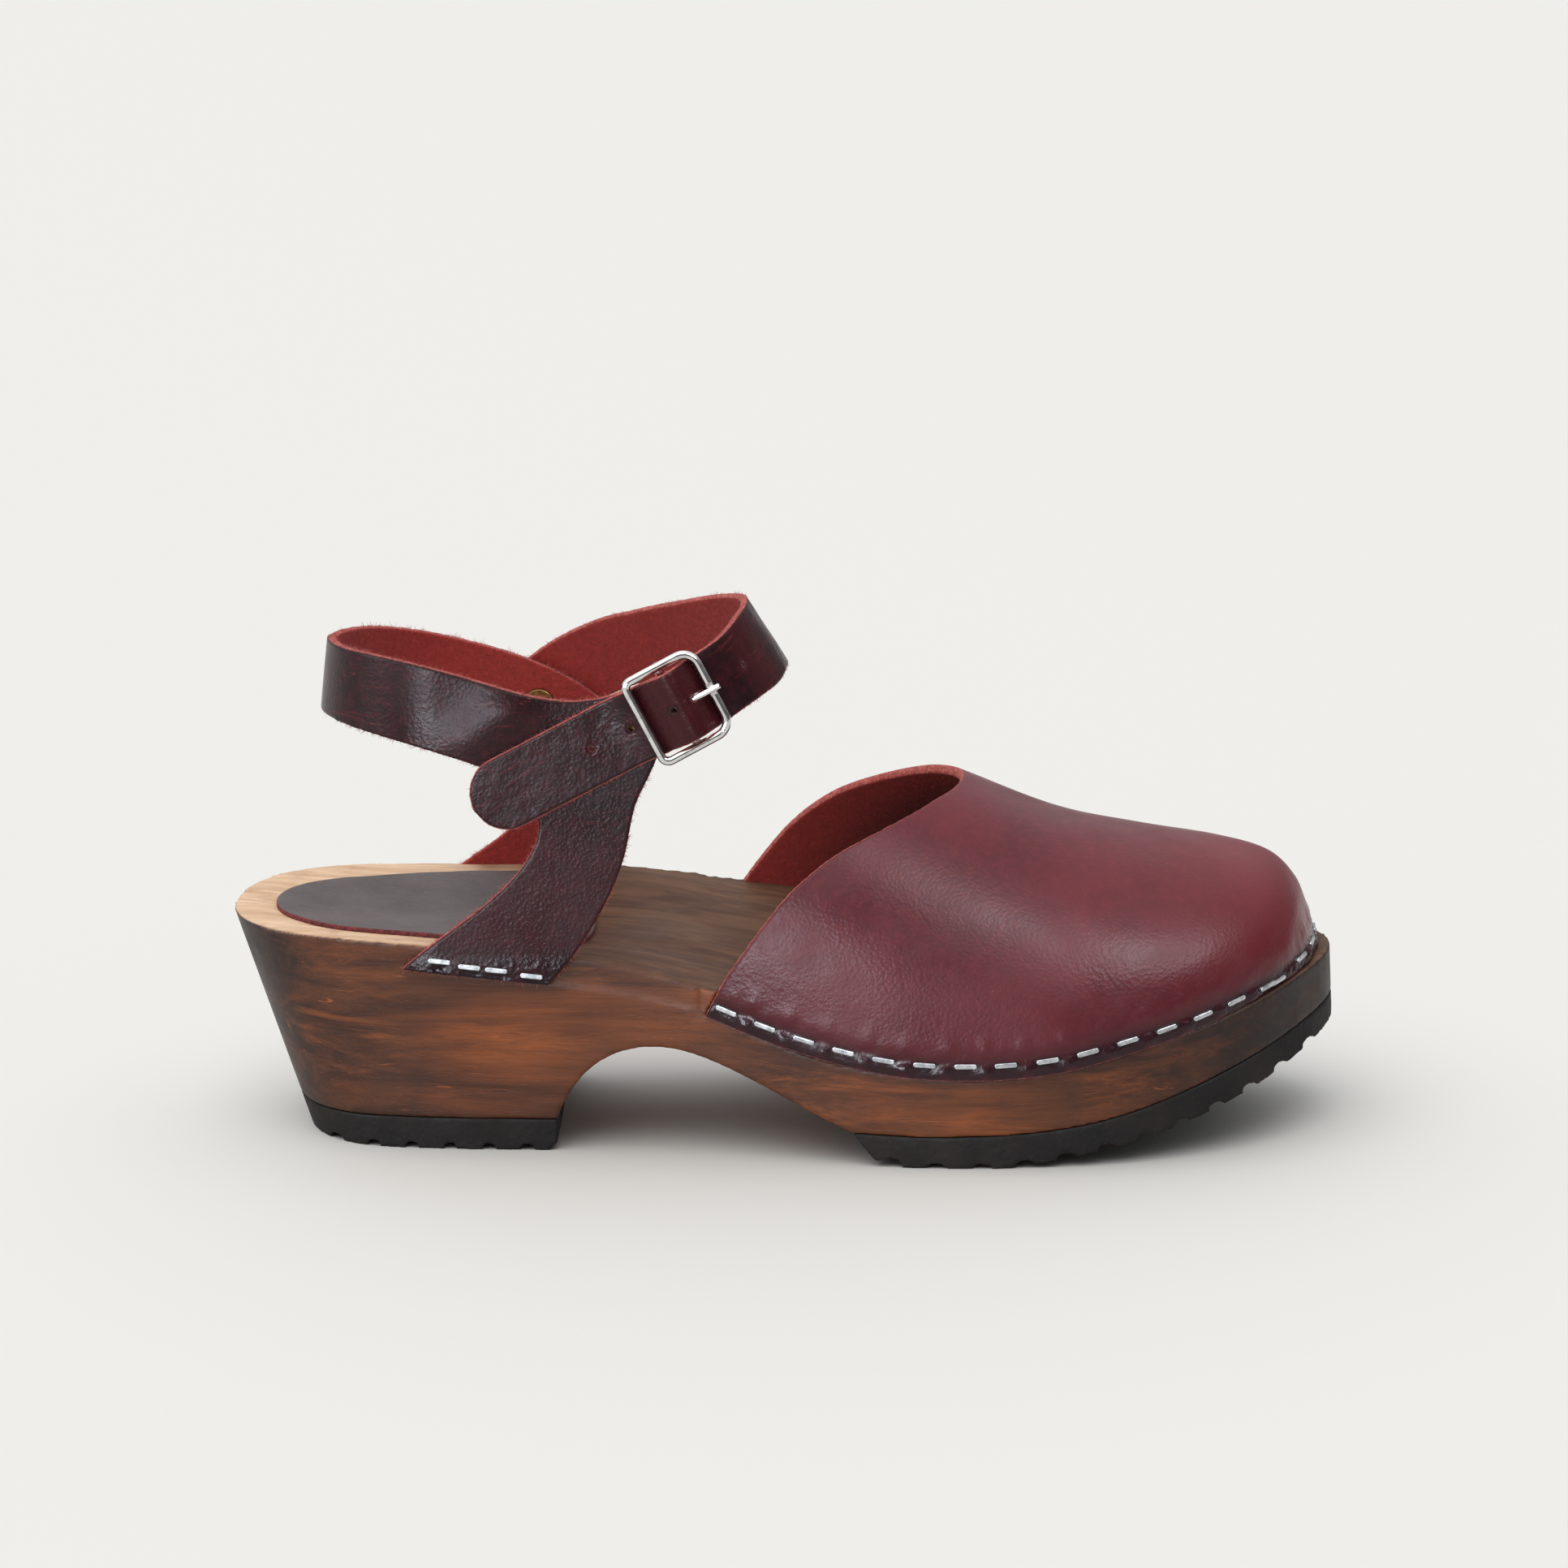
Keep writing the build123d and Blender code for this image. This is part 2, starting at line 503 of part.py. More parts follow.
def strap_grids():
    """Outer and inner surface points of the ankle strap."""
    count = (len(STRAP_STATIONS) - 1) * STRAP_STEPS
    last = len(STRAP_STATIONS) - 1
    outer, inner = [], []
    for n in range(count + 1):
        t = n / STRAP_STEPS
        row = glide(STRAP_STATIONS, t)
        before = Vector(*glide(STRAP_STATIONS, max(t - 0.02, 0))[:3])
        after = Vector(*glide(STRAP_STATIONS, min(t + 0.02, last))[:3])
        forward = (after - before).normalized()
        middle, across, width = Vector(*row[:3]), Vector(*row[3:6]), row[6]
        across = (across - forward * across.dot(forward)).normalized()
        normal = across.cross(forward) * (STRAP_THICK / 2)
        edges = [middle + across * (width * share) for share in (-0.5, -0.25, 0, 0.25, 0.5)]
        outer.append([p - normal for p in edges])
        inner.append([p + normal for p in edges])
    return outer, inner


tail_plane = Plane(Vector(*tail(TAIL_S)[:3]), x_dir=ALONG, z_dir=OUTWARD)
rivet_end_plane = Plane(Vector(*riveted(-STRAP_END)[:3]), x_dir=rivet_along, z_dir=rivet_normal)
HOLE_R = 0.9
STRAP_HOLES_S = [-21.5, -11.5, -0.9, 16.8]
PRONG_HOLE = (1.3, 6.9)     # the prong's hole, along the strap from the centre bar

with BuildPart() as ankle_strap:
    add(sheet_solid(*strap_grids()))
    for plane, width in ((tail_plane, STRAP_WIDTH), (rivet_end_plane, STRAP_WIDTH_INSTEP)):
        with BuildSketch(plane):
            with Locations((width / 4 - 1, 0)):
                Rectangle(width / 2 + 2, width + 4)
            with Locations((width / 2, 0)):
                Circle(width / 2, mode=Mode.SUBTRACT)
        extrude(amount=4, both=True, mode=Mode.SUBTRACT)
    with BuildSketch(strap_plane):
        with Locations(*[(s, 0) for s in STRAP_HOLES_S]):
            Circle(HOLE_R)
        with Locations(((PRONG_HOLE[0] + PRONG_HOLE[1]) / 2, 0)):
            Rectangle(PRONG_HOLE[1] - PRONG_HOLE[0], 2 * PRONG_SLOT_HALF + 0.2)
    extrude(amount=9, both=True, mode=Mode.SUBTRACT)
    with BuildSketch(rivet_plane):
        Circle(RIVET_POST_R + RUN_CLEAR)
    extrude(amount=4, both=True, mode=Mode.SUBTRACT)
ankle_strap.part.label = "ankle_strap"

# ---------------------------------------------------------------- buckle
frame_plane = strap_plane.offset(FRAME_RISE)
FRONT_CORNER_R = 3.6
BACK_CORNER_R = 1.7
SEAT_DEPTH = 0.3
half_span, half_frame = BAR_SPAN / 2, FRAME_WIDTH / 2

with BuildPart() as buckle_frame:
    with BuildLine(frame_plane) as frame_wire:
        FilletPolyline((-half_span, 0), (-half_span, half_frame), (half_span, half_frame),
                       (half_span, 0), radius=[BACK_CORNER_R, FRONT_CORNER_R])
        FilletPolyline((half_span, 0), (half_span, -half_frame), (-half_span, -half_frame),
                       (-half_span, 0), radius=[FRONT_CORNER_R, BACK_CORNER_R])
    with BuildSketch(Plane(frame_wire.line @ 0, z_dir=frame_wire.line % 0)):
        Circle(BAR_R)
    sweep()
    # centre bar and the two lugs that carry it below the frame
    with BuildSketch(Plane(BUCKLE - ACROSS * half_frame, x_dir=ALONG, z_dir=ACROSS)):
        Circle(BAR_R)
    extrude(amount=FRAME_WIDTH)
    for side in (-1, 1):
        with BuildSketch(Plane(BUCKLE + ACROSS * half_frame * side, x_dir=ALONG,
                               z_dir=OUTWARD)):
            Circle(BAR_R)
        extrude(amount=FRAME_RISE)
    # flat seat for the prong's tip
    with BuildSketch(strap_plane.offset(FRAME_RISE + BAR_R - SEAT_DEPTH)):
        with Locations((half_span, 0)):
            Rectangle(3, 3)
    extrude(amount=2, mode=Mode.SUBTRACT)
buckle_frame.part.label = "buckle_frame"

PRONG_LOOP_R = BAR_R + RUN_CLEAR + PRONG_R
PRONG_REACH = half_span + 2.1
TIP_CLEAR = 0.55            # the straight prong then just clears the seat
PRONG_TIP_N = FRAME_RISE + BAR_R - SEAT_DEPTH + TIP_CLEAR + PRONG_R
PRONG_TURN = 235            # degrees of the loop round the centre bar
prong_rise = atan2(PRONG_TIP_N - PRONG_LOOP_R, PRONG_REACH)


def prong_loop(turn):
    """Point of the prong's loop, turn degrees on from where the straight arm leaves it."""
    angle = pi / 2 + prong_rise + radians(turn)
    return (PRONG_LOOP_R * cos(angle), PRONG_LOOP_R * sin(angle))


with BuildPart() as buckle_prong:
    with BuildLine(buckle_plane) as prong_wire:
        Line((PRONG_REACH, PRONG_TIP_N), prong_loop(0))
        ThreePointArc(prong_loop(0), prong_loop(PRONG_TURN / 2), prong_loop(PRONG_TURN))
    with BuildSketch(Plane(prong_wire.line @ 0, z_dir=prong_wire.line % 0)):
        Circle(PRONG_R)
    sweep()
    fillet(buckle_prong.faces().filter_by(GeomType.PLANE).edges(), PRONG_R * 0.6)
buckle_prong.part.label = "buckle_prong"

# ---------------------------------------------------------------- rivets
SOCKET_FLANGE = 1.0
POST_RECESS = 0.5           # the post ends inside the socket
POST_ROOT = 0.2             # the post starts inside the head
strap_head_base = GAP + STRAP_THICK + 0.1

with BuildPart() as strap_rivet_cap:
    with BuildSketch(rivet_plane.offset(strap_head_base)):
        Circle(RIVET_HEAD_R)
    extrude(amount=RIVET_HEAD_T)
    fillet(strap_rivet_cap.edges().group_by(Axis(rivet_plane.origin, rivet_normal))[-1], 0.5)
    with BuildSketch(rivet_plane.offset(strap_head_base + POST_ROOT)):
        Circle(RIVET_POST_R)
    extrude(amount=-(strap_head_base + POST_ROOT + HEEL_STRAP_THICK + SOCKET_FLANGE
                     - POST_RECESS))
strap_rivet_cap.part.label = "strap_rivet_cap"

with BuildPart() as strap_rivet_socket:
    with BuildSketch(rivet_plane.offset(-HEEL_STRAP_THICK)):
        Circle(RIVET_HEAD_R)
        Circle(RIVET_POST_R, mode=Mode.SUBTRACT)
    extrude(amount=-SOCKET_FLANGE)
    fillet(strap_rivet_socket.edges().group_by(Axis(rivet_plane.origin, rivet_normal))[0], 0.4)
strap_rivet_socket.part.label = "strap_rivet_socket"

# the cap of the fold rivet lies flush in the arm, below the tail
with BuildPart() as fold_rivet_cap:
    with BuildSketch(fold_rivet_plane.offset(-RIVET_HEAD_T)):
        Circle(RIVET_HEAD_R)
    extrude(amount=RIVET_HEAD_T)
    with BuildSketch(fold_rivet_plane.offset(POST_ROOT - RIVET_HEAD_T)):
        Circle(RIVET_POST_R)
    extrude(amount=-(FOLD_STACK + SOCKET_FLANGE - POST_RECESS + POST_ROOT - RIVET_HEAD_T))
fold_rivet_cap.part.label = "fold_rivet_cap"

with BuildPart() as fold_rivet_socket:
    with BuildSketch(fold_rivet_plane.offset(-FOLD_STACK)):
        Circle(RIVET_HEAD_R)
        Circle(RIVET_POST_R, mode=Mode.SUBTRACT)
    extrude(amount=-SOCKET_FLANGE)
    fillet(fold_rivet_socket.edges().group_by(Axis(fold_rivet_plane.origin, OUTWARD))[0], 0.4)
fold_rivet_socket.part.label = "fold_rivet_socket"

# ---------------------------------------------------------------- staples
LEG_WIDTH = 0.9
CROWN_SUNK = 0.15           # the crown presses this far into the leather

with BuildPart() as staple:
    with BuildSketch(Plane.XY.offset(-CROWN_SUNK)):
        SlotOverall(STAPLE_LENGTH, STAPLE_WIRE)
    extrude(amount=STAPLE_CROWN)
    fillet(staple.edges().group_by(Axis.Z)[-1], 0.25)
    with BuildSketch(Plane.XY.offset(0.1)):
        with Locations((-(STAPLE_LENGTH - LEG_WIDTH) / 2 + 0.2, 0),
                       ((STAPLE_LENGTH - LEG_WIDTH) / 2 - 0.2, 0)):
            Rectangle(LEG_WIDTH, LEG_WIDTH)
    extrude(amount=-STAPLE_LEG)

EDGE_STEPS = 500
edge_walk = ([(n / EDGE_STEPS, 0) for n in range(EDGE_STEPS)]
             + [(1, n / EDGE_STEPS) for n in range(EDGE_STEPS)]
             + [(1 - n / EDGE_STEPS, 1) for n in range(EDGE_STEPS + 1)])
FIRST_STAPLE_X = -13.4
TOE_STAPLES_X = 96.0


def staple_plane(k, v, forward):
    """Plane on the leather front, above its edge point (k, v), with x along the edge."""
    edge = vamp_point(k, v)
    inside = vamp_point(min(k, 0.985), min(max(v, 0.03), 0.97))
    if k < 1:
        inside = vamp_point(k, min(max(v, 0.03), 0.97))
    up = (inside - edge).normalized()
    normal = forward.cross(up).normalized()
    if normal.dot(edge - Vector(60, 0, edge.Z)) < 0:
        normal = normal * -1
    return Plane(edge + up * STAPLE_ABOVE_EDGE, x_dir=forward, z_dir=normal)


vamp_staple_planes = []
walked = None
for n, (k, v) in enumerate(edge_walk[:-1]):
    here, ahead = vamp_point(k, v), vamp_point(*edge_walk[n + 1])
    if here.X < FIRST_STAPLE_X:
        continue
    step = (ahead - here).length
    walked = 0.0 if walked is None else walked
    if walked <= 0:
        vamp_staple_planes.append(staple_plane(k, v, (ahead - here).normalized()))
        walked += STAPLE_PITCH
    walked -= step

with BuildPart() as vamp_staples_outer:
    for plane in vamp_staple_planes:
        if plane.origin.X < TOE_STAPLES_X and plane.origin.Y < 0:
            add(staple.part.moved(plane.location))
vamp_staples_outer.part.label = "vamp_staples_outer"

with BuildPart() as vamp_staples_toe:
    for plane in vamp_staple_planes:
        if plane.origin.X >= TOE_STAPLES_X:
            add(staple.part.moved(plane.location))
vamp_staples_toe.part.label = "vamp_staples_toe"

with BuildPart() as vamp_staples_inner:
    for plane in vamp_staple_planes:
        if plane.origin.X < TOE_STAPLES_X and plane.origin.Y > 0:
            add(staple.part.moved(plane.location))
vamp_staples_inner.part.label = "vamp_staples_inner"

TAB_STAPLES = [(-78.3, 46.6), (-71.5, 45.3), (-65.4, 44.6), (-57.4, 43.3)]
tab_edge = Vector(TAB_FRONT[-1][0] - TAB_BACK[0][0], 0, TAB_FRONT[-1][1] - TAB_BACK[0][1])


def tab_staples(side):
    """The four staples of one side tab: side is -1 outside and 1 inside."""
    normal = Vector(0, side, WALL_LEAN).normalized()
    planes = [Plane(Vector(x, side * wall_half(z), z), x_dir=tab_edge, z_dir=normal)
              for x, z in TAB_STAPLES]
    return [staple.part.moved(plane.location) for plane in planes]


with BuildPart() as outer_tab_staples:
    add(tab_staples(-1))
outer_tab_staples.part.label = "outer_tab_staples"

with BuildPart() as inner_tab_staples:
    add(tab_staples(1))
inner_tab_staples.part.label = "inner_tab_staples"

# ---------------------------------------------------------------- export
pieces = [wooden_sole, heel_tread, forefoot_tread, heel_pad, vamp, vamp_staples_outer,
          vamp_staples_toe, vamp_staples_inner, heel_strap, outer_tab_staples,
          inner_tab_staples, ankle_strap, buckle_frame, buckle_prong, strap_rivet_cap,
          strap_rivet_socket, fold_rivet_cap, fold_rivet_socket]
os.makedirs("parts", exist_ok=True)
for piece in pieces:
    export_step(piece.part, f"parts/{piece.part.label}.step")
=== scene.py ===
import json
import math
import random

import bpy
import bmesh
import numpy as np
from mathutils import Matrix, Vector, noise
from mathutils.geometry import delaunay_2d_cdt
from mathutils.kdtree import KDTree

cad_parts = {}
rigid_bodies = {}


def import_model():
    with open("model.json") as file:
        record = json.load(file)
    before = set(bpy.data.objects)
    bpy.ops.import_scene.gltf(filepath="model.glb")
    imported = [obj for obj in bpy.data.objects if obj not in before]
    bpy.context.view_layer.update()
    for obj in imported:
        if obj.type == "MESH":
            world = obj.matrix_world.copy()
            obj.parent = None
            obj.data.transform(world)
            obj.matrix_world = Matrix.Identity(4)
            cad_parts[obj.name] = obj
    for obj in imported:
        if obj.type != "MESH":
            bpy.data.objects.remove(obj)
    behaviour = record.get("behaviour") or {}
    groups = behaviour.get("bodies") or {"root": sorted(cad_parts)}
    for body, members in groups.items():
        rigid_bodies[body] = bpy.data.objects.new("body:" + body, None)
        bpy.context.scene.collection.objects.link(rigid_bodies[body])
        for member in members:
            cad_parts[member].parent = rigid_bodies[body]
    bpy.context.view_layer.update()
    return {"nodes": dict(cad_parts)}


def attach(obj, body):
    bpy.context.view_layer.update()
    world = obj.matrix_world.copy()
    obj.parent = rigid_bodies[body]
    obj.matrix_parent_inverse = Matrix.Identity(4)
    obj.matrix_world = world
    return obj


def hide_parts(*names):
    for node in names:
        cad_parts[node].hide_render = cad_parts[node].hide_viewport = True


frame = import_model()
nodes = frame["nodes"]
random.seed(11)
MM = 0.001


# -------------------------------- curves, in millimetres
def smooth(t, knots):
    """Value at t on a smooth curve through (t, value) knots."""
    t = min(max(t, knots[0][0]), knots[-1][0])
    i = max(n for n in range(len(knots) - 1) if knots[n][0] <= t)
    slopes = []
    for n in (i, i + 1):
        a, b = knots[max(n - 1, 0)], knots[min(n + 1, len(knots) - 1)]
        slopes.append((b[1] - a[1]) / (b[0] - a[0]))
    (t0, v0), (t1, v1) = knots[i], knots[i + 1]
    h = t1 - t0
    u = (t - t0) / h
    return (v0 * (2 * u**3 - 3 * u**2 + 1) + v1 * (3 * u**2 - 2 * u**3)
            + slopes[0] * h * (u**3 - 2 * u**2 + u) + slopes[1] * h * (u**3 - u**2))


def glide(rows, t):
    """Every column of a list of rows, read at the fractional row t."""
    return [smooth(t, [(n, row[c]) for n, row in enumerate(rows)]) for c in range(len(rows[0]))]


def ease(x, low, high):
    """0 below low, 1 above high, smooth between; works on numbers and arrays."""
    u = np.clip((np.asarray(x, float) - low) / (high - low), 0, 1)
    return u * u * (3 - 2 * u)


# -------------------------------- material graphs
class Graph:
    """One material's node tree, with short calls for the nodes it uses."""

    def __init__(self, name):
        self.material = bpy.data.materials.new(name)
        self.material.use_nodes = True
        self.tree = self.material.node_tree
        self.shader = self.tree.nodes["Principled BSDF"]
        self.place = self.tree.nodes.new("ShaderNodeTexCoord").outputs["Object"]

    def feed(self, socket, value):
        if isinstance(value, bpy.types.NodeSocket):
            self.tree.links.new(value, socket)
        elif value is not None:
            socket.default_value = value

    def node(self, kind, settings=None, **inputs):
        made = self.tree.nodes.new("ShaderNode" + kind)
        for key, value in (settings or {}).items():
            setattr(made, key, value)
        for key, value in inputs.items():
            self.feed(made.inputs[key.replace("_", " ")], value)
        return made

    def mask(self, name):
        return self.node("Attribute", {"attribute_name": name}).outputs["Fac"]

    def vector(self, name):
        return self.node("Attribute", {"attribute_name": name}).outputs["Vector"]

    def stretch(self, scale, where=None, turn=(0, 0, 0)):
        made = self.node("Mapping", Vector=where or self.place)
        made.inputs["Scale"].default_value = scale
        made.inputs["Rotation"].default_value = turn
        return made.outputs["Vector"]

    def noise(self, scale, detail=3, rough=0.5, warp=0, where=None):
        return self.node("TexNoise", Vector=where or self.place, Scale=scale, Detail=detail,
                         Roughness=rough, Distortion=warp).outputs["Fac"]

    def cells(self, scale, where=None, feature="F1", smoothness=0.3):
        settings = {"feature": feature}
        made = self.node("TexVoronoi", settings, Vector=where or self.place, Scale=scale)
        if feature == "SMOOTH_F1":
            made.inputs["Smoothness"].default_value = smoothness
        return made.outputs["Distance"]

    def span(self, value, low, high, to_low=0.0, to_high=1.0):
        made = self.node("MapRange", {"interpolation_type": "SMOOTHSTEP"}, Value=value)
        for key, number in (("From Min", low), ("From Max", high), ("To Min", to_low),
                            ("To Max", to_high)):
            made.inputs[key].default_value = number
        return made.outputs["Result"]

    def sums(self, operation, a, b=None):
        made = self.node("Math", {"operation": operation})
        self.feed(made.inputs[0], a)
        self.feed(made.inputs[1], b)
        return made.outputs[0]

    def mix(self, share, a, b, blend="MIX"):
        made = self.node("Mix", {"data_type": "RGBA", "blend_type": blend})
        self.feed(made.inputs["Factor"], share)
        self.feed(made.inputs[6], tint(a) if isinstance(a, tuple) else a)
        self.feed(made.inputs[7], tint(b) if isinstance(b, tuple) else b)
        return made.outputs[2]

    def bump(self, height, depth, strength=1.0, under=None):
        made = self.node("Bump", Height=height, Strength=strength, Distance=depth)
        self.feed(made.inputs["Normal"], under)
        return made.outputs["Normal"]

    def finish(self, **inputs):
        for key, value in inputs.items():
            if isinstance(value, tuple):
                value = tint(value)
            self.feed(self.shader.inputs[key.replace("_", " ")], value)
        return self.material


def tint(colour):
    """Linear colour of an sRGB one given 0 to 255."""
    parts = [c / 255 for c in colour[:3]]
    return tuple(c / 12.92 if c <= 0.04045 else ((c + 0.055) / 1.055) ** 2.4
                 for c in parts) + (1.0,)


# -------------------------------- leathers
def skin_leather(name, deep, mid, warm, rough, gloss, streaks):
    """Oiled full-grain leather: grain skin, suede flesh side and raw fuzzy edges.

    Mesh masks: flesh 0 to 1 through the thickness, raw 1 on a cut edge, press 1 where
    it is squeezed and where painted shade darkens it, redden 1 where the colour warms. The vector
    flat is the place on the hide.
    """
    g = Graph(name)
    cloud = g.noise(28, 4, 0.6, 0.4)
    mottle = g.noise(420, 5, 0.65, 0.2)
    colour = g.mix(g.span(cloud, 0.35, 0.68), deep, mid)
    colour = g.mix(g.sums("MULTIPLY", g.span(mottle, 0.42, 0.72), 0.45), colour, warm)
    colour = g.mix(g.sums("MULTIPLY", g.mask("redden"), 0.6), colour, warm)
    along = g.vector("flat")
    if streaks:
        hair = g.noise(1.0, 5, 0.72, 1.3, g.stretch((60, 950, 1), along, (0, 0, 0.10)))
        hair = g.span(hair, 0.55, 0.74)
        patch = g.span(g.noise(46, 2, 0.5), 0.40, 0.62)
        pulled = g.sums("MULTIPLY", g.sums("MULTIPLY", hair, patch), streaks)
        colour = g.mix(pulled, colour, (128, 44, 52))
        scar = g.node("TexNoise", {"noise_dimensions": "3D"},
                      Vector=g.stretch((210, 1500, 1), along, (0, 0, 0.7)), Scale=1.0,
                      Detail=2.0, Roughness=0.5, Distortion=2.2).outputs["Fac"]
        scar = g.sums("MULTIPLY", g.span(scar, 0.715, 0.76), 0.8)
        colour = g.mix(scar, colour, (150, 58, 62))
    # darker where the leather is squeezed by staples and round holes, plus painted shade near the
    # leather front's lower edge and at the heel tab's foot
    colour = g.mix(g.sums("MULTIPLY", g.mask("press"), 0.9), colour, (34, 17, 26))
    speck = g.span(g.cells(330), 0.045, 0.02)
    rare = g.span(g.noise(37, 1), 0.60, 0.66)
    colour = g.mix(g.sums("MULTIPLY", g.sums("MULTIPLY", speck, rare), 0.5), colour,
                   (205, 170, 172))
    nap = g.noise(900, 6, 0.8, 0.6)
    nap_soft = g.noise(70, 3, 0.5)
    flesh = g.mix(g.span(nap, 0.3, 0.75), (172, 44, 40), (222, 78, 68))
    flesh = g.mix(g.sums("MULTIPLY", nap_soft, 0.5), flesh, (196, 56, 50))
    # painted shade: the flesh side of the leather front darker deeper inside the shoe
    flesh = g.mix(g.mask("press"), flesh, (46, 14, 17))
    raw = g.mix(g.span(g.noise(1300, 4, 0.7), 0.35, 0.7), (172, 58, 54), (236, 124, 112))
    raw = g.mix(g.mask("press"), raw, (50, 17, 19))
    is_flesh = g.span(g.mask("flesh"), 0.45, 0.55)
    is_raw = g.span(g.mask("raw"), 0.35, 0.6)
    colour = g.mix(is_flesh, colour, flesh)
    colour = g.mix(is_raw, colour, raw)
    dull = g.sums("MAXIMUM", is_flesh, is_raw)
    polish = g.span(g.noise(60, 3, 0.55), 0.3, 0.7, rough - 0.05, rough + 0.09)
    polish = g.sums("SUBTRACT", polish, g.sums("MULTIPLY", g.mask("press"), 0.12))
    polish = g.sums("MAXIMUM", polish, g.sums("MULTIPLY", dull, 0.95))
    pores = g.cells(1150, feature="SMOOTH_F1", smoothness=0.5)
    grain = g.sums("ADD", g.sums("MULTIPLY", pores, 0.9), g.noise(1900, 4, 0.6))
    crease = g.noise(150, 2, 0.5, 0.3)
    height = g.sums("ADD", grain, g.sums("MULTIPLY", crease, 0.5))
    height = g.sums("ADD", height, g.sums("MULTIPLY", g.sums("MULTIPLY", nap, dull), 20.0))
    normal = g.bump(height, 0.000045, 1.0)
    sheen = g.sums("MULTIPLY", dull, 0.2)
    g.feed(g.shader.inputs["Specular IOR Level"],
           g.sums("SUBTRACT", gloss, g.sums("MULTIPLY", dull, gloss - 0.08)))
    return g.finish(Base_Color=colour, Roughness=polish, Normal=normal, Sheen_Weight=sheen,
                    Sheen_Roughness=0.6)


vamp_leather = skin_leather("burgundy_leather", (94, 32, 42), (112, 39, 50), (126, 45, 51),
                            0.35, 0.27, 0)
strap_leather = skin_leather("dark_leather", (30, 11, 17), (47, 15, 22), (84, 22, 29),
                             0.28, 0.20, 0.9)


def pad_leather():
    g = Graph("heel_pad_leather")
    fine = g.noise(900, 5, 0.6)
    colour = g.mix(g.span(g.noise(40, 3), 0.3, 0.7), (70, 60, 61), (90, 79, 79))
    colour = g.mix(g.sums("MULTIPLY", g.span(fine, 0.45, 0.75), 0.35), colour, (104, 92, 90))
    rub = g.span(g.noise(1.0, 3, 0.6, 0.8, g.stretch((50, 260, 1), turn=(0, 0, 1.35))), 0.5, 0.75)
    colour = g.mix(g.sums("MULTIPLY", rub, 0.4), colour, (52, 40, 42))
    is_raw = g.span(g.mask("raw"), 0.3, 0.7)
    raw = g.mix(g.span(g.noise(1200, 3), 0.35, 0.7), (88, 28, 30), (140, 56, 54))
    colour = g.mix(is_raw, colour, raw)
    height = g.sums("ADD", g.cells(1300, feature="SMOOTH_F1"), fine)
    polish = g.span(g.noise(70, 3), 0.3, 0.7, 0.40, 0.52)
    polish = g.sums("MAXIMUM", polish, g.sums("MULTIPLY", is_raw, 0.95))
    return g.finish(Base_Color=colour, Roughness=polish, Normal=g.bump(height, 0.00005, 0.8))


